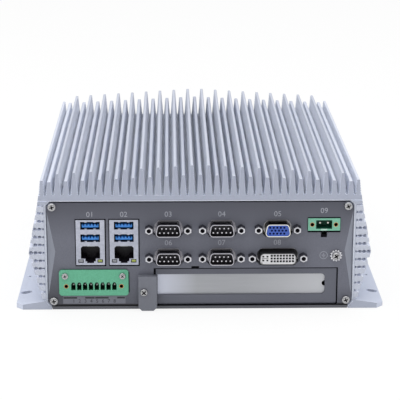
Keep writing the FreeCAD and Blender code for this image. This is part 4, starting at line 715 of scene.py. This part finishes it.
makeFlangeEdges()


# Painted shadow in the gaps: black frames laid on the panel's face round what stands in its cut-outs, and
# black strips a little behind its face. A frame is the corners of what stands there and the gap at its left,
# right, foot and top. A strip behind the panel is its two corners.

gapShades = {"face": -116.28, "thick": 0.03, "deep": -115.2,
             "frames": [((-80.4, 30.8, -61.8, 61.2), (0.4, 0.8, 1.1, 0.5)),
                        ((-58.65, 30.8, -40.05, 61.2), (0.4, 0.8, 1.1, 0.5)),
                        ((69.7, 53.5, 90.5, 61.7), (0.1, 0.3, 1.4, 0.6)),
                        ((-91.8, 11.6, -46.7, 25.6), (0.0, 0.6, 0.0, 0.0)),
                        ((78.4, 51.0, 81.8, 53.0), (0.2, 0.2, 2.2, 0.0))],
             "behind": [(-29.9, 26.9, 90.1, 28.3), (-30.4, 2.9, -28.6, 28.3), (88.9, 2.9, 90.1, 28.3)]}


def makeGapShades():
    strips = [(gapShades["deep"], *corners) for corners in gapShades["behind"]]
    face = gapShades["face"]
    for (left, low, right, high), (atLeft, atRight, below, above) in gapShades["frames"]:
        strips += [(face, left - atLeft, low - below, left, high + above),
                   (face, right, low - below, right + atRight, high + above),
                   (face, left, low - below, right, low), (face, left, high, right, high + above)]
    shades = [addCube("shade", (left, depth, low), (right, depth + gapShades["thick"], high))
              for depth, left, low, right, high in strips if min(right - left, high - low) > near]
    return finish(joinAll(shades, "gapShades"), looks["boreShade"])


makeGapShades()


# Toothed washer of the earth screw

washer = {"place": (88.4, 36.4), "thick": 0.8, "root": 3.3, "tooth": 4.0, "bore": 1.7, "boreSides": 16,
          "teeth": 12}


def makeWasher():
    x, z = washer["place"]
    y = -panelReach - washer["thick"] / 2
    centre = Vector((x, y, z)) * mm
    piece = addRod("toothedWasher", (x, y, z), washer["tooth"], washer["thick"], 4 * washer["teeth"])

    def corner(vert):  # a tooth takes four corners of the rod, of which two stand out
        away = vert.co - centre
        turn = Vector((away.x, away.z)).angle_signed(Vector((1, 0)))
        return round(turn / (pi / 2 / washer["teeth"])) % 4

    editPick("VERT", lambda vert: corner(vert) in (2, 3))
    share = washer["root"] / washer["tooth"]
    bpy.ops.transform.resize(value=(share, 1, share), center_override=centre)
    leaveEdit()
    cutAway(piece, addRod("bore", (x, y, z), washer["bore"], 2 * spare, washer["boreSides"]))
    return finish(piece, looks["nickelPlate"], ["earth_washer"], smooth=20)


makeWasher()
print("jackscrews and washer")


# Network and USB sockets: notched tongues, spring tabs, contacts and lamps

stack = {"middles": (-71.1, -49.35), "foot": 30.8, "face": -117.05}
tongue = {"heights": (25.9, 17.5), "wide": 10.9, "tall": 2.2, "front": -115.05, "back": -104.5, "round": 0.15,
          "notches": 5, "notch": 0.95, "notchTall": 0.95, "notchPitch": 2.1, "notchEnd": -106.5}
springTab = {"heights": (26.6, 18.2), "wide": 1.5, "tall": 0.55, "thick": 0.3, "spread": 2.9, "setback": 0.35,
             "half": 2.6}
contact = {"count": 8, "pitch": 0.61, "wide": 0.4, "thick": 0.3, "front": -114.6, "back": -107.5,
           "high": 42.6, "low": 40.2}
socketLamp = {"spread": 6.2, "height": 2.7, "wide": 2.7, "tall": 1.5, "front": -116.85, "back": -113.55,
              "round": 0.3}


def usbTongues(index, middle):
    front, half = tongue["front"], tongue["notch"] / 2
    blocks = []
    for height in tongue["heights"]:
        z = stack["foot"] + height
        top = z + tongue["tall"] / 2
        block = addBlock("tongue", middle, z, tongue["wide"], tongue["tall"], front, tongue["back"])
        roundEdges(block, tongue["round"])
        for x in evenly(middle, tongue["notches"], tongue["notchPitch"]):  # a groove for each contact
            cutAway(block, addCube("groove", (x - half, front - spare, top - tongue["notchTall"]),
                                   (x + half, tongue["notchEnd"], top + spare)))
        blocks.append(block)
    finish(joinAll(blocks, "usbTongues" + str(index)), looks["tongueBlue"],
           ["usb_tongues_" + str(index)])


def springTabs():  # two at the top and two at the foot of each USB opening
    front = stack["face"] + springTab["setback"]
    tabs = []
    for middle in stack["middles"]:
        for height in springTab["heights"]:
            for side in (-1, 1):
                for way in (-1, 1):
                    z = stack["foot"] + height + way * (springTab["half"] - springTab["tall"] / 2)
                    tabs.append(addBlock("tab", middle + side * springTab["spread"], z, springTab["wide"],
                                         springTab["tall"], front, front + springTab["thick"]))
    return finish(joinAll(tabs, "springTabs"), looks["tinPlate"])


def jackContacts():  # wires that rise towards the front
    wires = []
    for middle in stack["middles"]:
        for x in evenly(middle, contact["count"], contact["pitch"]):
            wire = addBlock("wire", x, contact["low"] + contact["thick"] / 2, contact["wide"],
                            contact["thick"], contact["front"], contact["back"])
            editPick("VERT", lambda vert: isAt(vert, "y", contact["front"]))
            bpy.ops.transform.translate(value=(0, 0, (contact["high"] - contact["low"]) * mm))
            leaveEdit()
            wires.append(wire)
    return finish(joinAll(wires, "jackContacts"), looks["dimPlate"])


def socketLamps(name, side, look, replaced):
    lamps = []
    for middle in stack["middles"]:
        lamp = addBlock("lamp", middle + side * socketLamp["spread"], stack["foot"] + socketLamp["height"],
                        socketLamp["wide"], socketLamp["tall"], socketLamp["front"], socketLamp["back"])
        lamps.append(roundEdges(lamp, socketLamp["round"]))
    return finish(joinAll(lamps, name), looks[look], replaced)


for index, middle in enumerate(stack["middles"], start=1):
    usbTongues(index, middle)
springTabs()
jackContacts()
socketLamps("rightLamps", 1, "lampGreen", ["socket_lamps"])
socketLamps("leftLamps", -1, "lampGrey", ())
print("socket details")


# Moulded lips that the two green headers have around their threaded inserts

headerLips = {
    "outer": 2.1, "inner": 1.5, "thick": 0.06, "sunk": 0.01, "outerSides": 32, "innerSides": 24,
    "sets": {"headerLip": {"look": "headerGreen", "front": -117.75, "height": 16.4, "middle": -69.25,
                           "spread": 17.95},
             "inputLip": {"look": "inputGreen", "front": -117.25, "height": 57.6, "middle": 80.1,
                          "spread": 7.65}},
}
# The paler sheet on the input's lip is painted light.
inputLedge = {"low": (78.0, 53.6), "high": (82.2, 54.74), "front": -117.25, "thick": 0.06, "sunk": 0.02}


def makeLips(name, lipSet):
    y = lipSet["front"] - headerLips["thick"] / 2 + headerLips["sunk"]
    lips = []
    for side in (-1, 1):
        place = (lipSet["middle"] + side * lipSet["spread"], y, lipSet["height"])
        lip = addRod("lip", place, headerLips["outer"], headerLips["thick"], headerLips["outerSides"])
        lips.append(cutAway(lip, addRod("hole", place, headerLips["inner"], spare, headerLips["innerSides"])))
    return finish(joinAll(lips, name), looks[lipSet["look"]])


def makeLedge():  # a paler sheet of painted light on the lip under the power input, above the notch for the latch
    (left, low), (right, high), front = inputLedge["low"], inputLedge["high"], inputLedge["front"]
    ledge = addCube("inputLedge", (left, front - inputLedge["thick"], low),
                    (right, front + inputLedge["sunk"], high))
    return finish(ledge, looks["inputLitGreen"])


for name, lipSet in headerLips["sets"].items():
    makeLips(name, lipSet)
makeLedge()


# Contact holes in the two video insulators, each with a dark plate of painted shade a little behind its face

insulatorFace = -121.85
holeDepth = 3.0
shadeThick = 0.3
vgaHoles = {"middle": (50.05, 55.0), "columns": 5, "pitch": 2.29, "rows": 3, "rise": 1.98, "shift": 0.57,
            "radius": 0.78, "sides": 10, "shade": (12.4, 6.0), "setback": 0.45}
dviHoles = {"middle": (53.05, 36.15), "columns": 8, "pitch": 1.97, "rows": 3, "rise": 1.9, "size": 1.4,
            "bladeMiddle": (42.05, 36.15), "blade": (4.2, 0.4), "corner": 1.2, "cornerSpread": (1.35, 1.3),
            "shadeMiddle": (50.1, 36.15), "shade": (21.6, 5.7), "setback": 0.35}


def holeShade(name, middle, holes, look):
    front = insulatorFace + holes["setback"]
    shade = addBlock(name, *middle, *holes["shade"], front, front + shadeThick)
    return finish(shade, looks[look])


def drillVga():
    piece = copyNode("vga_insulator", "vgaInsulator")
    x, z = vgaHoles["middle"]
    cutters = []
    for row, height in enumerate(evenly(z, vgaHoles["rows"], vgaHoles["rise"])):
        shift = vgaHoles["shift"] if row == 1 else -vgaHoles["shift"]  # the middle row is staggered
        for across in evenly(x + shift, vgaHoles["columns"], vgaHoles["pitch"]):
            cutters.append(addRod("hole", (across, insulatorFace, height), vgaHoles["radius"], 2 * holeDepth,
                                  vgaHoles["sides"]))
    cutAway(piece, joinAll(cutters, "holes"))
    holeShade("vgaHoleShade", vgaHoles["middle"], vgaHoles, "holeShadeBlue")
    return finish(piece, looks["portBlue"], ["vga_insulator"])


def drillDvi():
    piece = copyNode("dvi_insulator", "dviInsulator")

    def opening(x, z, wide, tall):
        return addBlock("hole", x, z, wide, tall, insulatorFace - holeDepth, insulatorFace + holeDepth)

    x, z = dviHoles["middle"]
    size = dviHoles["size"]
    cutters = [opening(across, height, size, size)
               for height in evenly(z, dviHoles["rows"], dviHoles["rise"])
               for across in evenly(x, dviHoles["columns"], dviHoles["pitch"])]
    x, z = dviHoles["bladeMiddle"]
    (wide, tall), size = dviHoles["cornerSpread"], dviHoles["corner"]
    cutters += [opening(x + sideX * wide, z + sideZ * tall, size, size)
                for sideX in (-1, 1) for sideZ in (-1, 1)]
    cutAway(piece, joinAll(cutters, "holes"))
    cutAway(piece, opening(x, z, *dviHoles["blade"]))
    holeShade("dviHoleShade", dviHoles["shadeMiddle"], dviHoles, "boreShade")
    return finish(piece, looks["portWhite"], ["dvi_insulator"])


drillVga()
drillDvi()
print("video contacts")


# Printed numbers beside the ports, and the ring and bars beside the earth screw

printing = {"face": -116.27, "thick": 0.05, "curveSteps": 3}
portNumber = {"size": 5.0, "places": {
    "01": (-71.1, 64.6), "02": (-49.35, 64.6), "03": (-20.6, 64.6), "04": (13.9, 64.6), "05": (50.05, 64.6),
    "06": (-20.6, 45.3), "07": (13.9, 45.3), "08": (50.05, 45.3), "09": (80.1, 66.6),
}}
earthMark = {"place": (80.3, 36.5), "radius": 2.6, "sides": 40, "line": 0.3, "stem": 1.5,
             "bars": ((1.4, 0.1), (0.9, -0.6), (0.4, -1.3))}  # each bar's half length and height


def printNumber(word, x, z, size):
    deselect()
    bpy.ops.object.text_add(location=(x * mm, printing["face"] * mm, z * mm), rotation=(pi / 2, 0, 0))
    text = bpy.context.object
    text.data.body = word
    text.data.size = size * mm
    text.data.align_x = "CENTER"
    text.data.align_y = "CENTER"
    text.data.extrude = printing["thick"] / 2 * mm
    text.data.resolution_u = printing["curveSteps"]
    bpy.ops.object.convert(target="MESH")
    return applyPlace(bpy.context.object)


def printEarthMark():
    (x, z), y, line, stem = earthMark["place"], printing["face"], earthMark["line"], earthMark["stem"]
    front, back = y - printing["thick"] / 2, y + printing["thick"] / 2
    ring = addRod("ring", (x, y, z), earthMark["radius"], printing["thick"], earthMark["sides"])
    cutAway(ring, addRod("inside", (x, y, z), earthMark["radius"] - line, spare, earthMark["sides"]))
    pieces = [ring, addBlock("stem", x, z + stem / 2, line, stem, front, back)]
    for half, rise in earthMark["bars"]:
        pieces.append(addBlock("bar", x, z + rise, 2 * half, line, front, back))
    return pieces


printed = [printNumber(word, *place, portNumber["size"]) for word, place in portNumber["places"].items()]
printed += printEarthMark()
finish(joinAll(printed, "portNumbers"), looks["printPale"])


# The strip below the eight-way header, with a number for each way and plain bars over the numbers

strip = {"low": (-89.6, 3.9), "high": (-48.8, 9.2), "thick": 0.04, "barLow": 7.4, "barHigh": 8.5,
         "barThick": 0.02, "bars": ((-89.3, -80.5), (-75.1, -69.0), (-68.6, -59.8), (-54.2, -49.1)),
         "ways": 8, "middle": -69.245, "pitch": 3.81, "height": 5.6, "size": 3.4}


def printStrip():
    (left, low), (right, high), face = strip["low"], strip["high"], printing["face"]
    plate = addCube("numberStrip", (left, face, low), (right, face + strip["thick"], high))
    finish(plate, looks["stripGrey"])
    ways = [printNumber(str(way), x, strip["height"], strip["size"])
            for way, x in enumerate(evenly(strip["middle"], strip["ways"], strip["pitch"]), start=1)]
    for left, right in strip["bars"]:
        ways.append(addCube("bar", (left, face - strip["barThick"], strip["barLow"]),
                            (right, face, strip["barHigh"])))
    return finish(joinAll(ways, "wayNumbers"), looks["printDark"])


printStrip()
print("printed numbers")


# Floor, sky, light and camera, in metres

stage = {"floorSize": 6.0, "floorDrop": 0.0002, "white": 0.92, "glow": 0.85, "skyLow": 0.3, "skyHigh": 1.0}
lamps = {
    "topLamp": {"place": (0.0, -0.1, 1.3), "size": 1.4, "power": 7.8},
    "frontLamp": {"place": (-0.5, -1.4, 0.7), "size": 0.9, "power": 1.6},
    "rightLamp": {"place": (1.3, -0.5, 0.6), "size": 0.9, "power": 2.0},
    "leftLamp": {"place": (-1.3, -0.3, 0.7), "size": 0.9, "power": 3.2},
}
lampAim = Vector((0, 0, 0.04))
view = {"place": (-0.01935, -1.08903, 0.35595), "down": 16.15, "right": 1.13, "roll": 0.08, "lens": 141.803,
        "sensor": 36, "clipEnd": 20}


def raysOf(tree, *kinds):  # 1 for rays of these kinds and 0 for the others
    rays = addNode(tree, "LightPath").outputs
    shown = rays[kinds[0]]
    for kind in kinds[1:]:
        shown = addNode(tree, "Math", {0: shown, 1: rays[kind]}, operation="MAXIMUM").outputs["Value"]
    return shown


def floorMaterial():  # a matt floor that shows nearly white and keeps the object's shadow
    material = bpy.data.materials.new("paleFloor")
    material.use_nodes = True
    tree = material.node_tree
    tree.nodes.clear()
    seen = raysOf(tree, "Is Camera Ray", "Is Glossy Ray", "Is Transmission Ray")
    share = addNode(tree, "Math", {0: seen, 1: stage["glow"]}, operation="MULTIPLY")
    matt = addNode(tree, "BsdfDiffuse", {"Color": (stage["white"],) * 3 + (1,)})
    glow = addNode(tree, "Emission")
    mix = addNode(tree, "MixShader", {"Fac": share.outputs["Value"], 1: matt.outputs["BSDF"],
                                      2: glow.outputs["Emission"]})
    addNode(tree, "OutputMaterial", {"Surface": mix.outputs["Shader"]})
    return material


def makeSky():  # white to the camera, and darker towards the horizon as a light
    world = bpy.data.worlds.new("paleSky")
    bpy.context.scene.world = world
    world.use_nodes = True
    tree = world.node_tree
    tree.nodes.clear()
    place = addNode(tree, "TexCoord")
    parts = addNode(tree, "SeparateXYZ", {"Vector": place.outputs["Generated"]})
    rise = addNode(tree, "MapRange", {"Value": parts.outputs["Z"], "To Min": stage["skyLow"],
                                      "To Max": stage["skyHigh"]})
    strength = addNode(tree, "MapRange", {"Value": raysOf(tree, "Is Camera Ray", "Is Transmission Ray"),
                                          "To Min": rise.outputs["Result"], "To Max": 1.0})
    glow = addNode(tree, "Background", {"Color": (1, 1, 1, 1), "Strength": strength.outputs["Result"]})
    addNode(tree, "OutputWorld", {"Surface": glow.outputs["Background"]})


deselect()
bpy.ops.mesh.primitive_plane_add(size=stage["floorSize"], location=(0, 0, -stage["floorDrop"]))
floor = bpy.context.object
floor.name = "floor"
floor.data.materials.append(floorMaterial())
makeSky()

for name, lamp in lamps.items():
    bpy.ops.object.light_add(type="AREA", location=lamp["place"])
    light = bpy.context.object
    light.name = name
    light.data.size = lamp["size"]
    light.data.energy = lamp["power"]
    light.rotation_euler = (lampAim - Vector(lamp["place"])).to_track_quat("-Z", "Y").to_euler()

bpy.ops.object.camera_add(location=view["place"])
camera = bpy.context.object
camera.data.lens = view["lens"]
camera.data.sensor_width = view["sensor"]
camera.data.clip_end = view["clipEnd"]
turn = (Matrix.Rotation(radians(-view["right"]), 4, "Z") @ Matrix.Rotation(radians(90 - view["down"]), 4, "X")
        @ Matrix.Rotation(radians(view["roll"]), 4, "Z"))
camera.rotation_euler = turn.to_euler()
bpy.context.scene.camera = camera
bpy.context.scene.view_settings.view_transform = "Standard"
print("stage and camera")
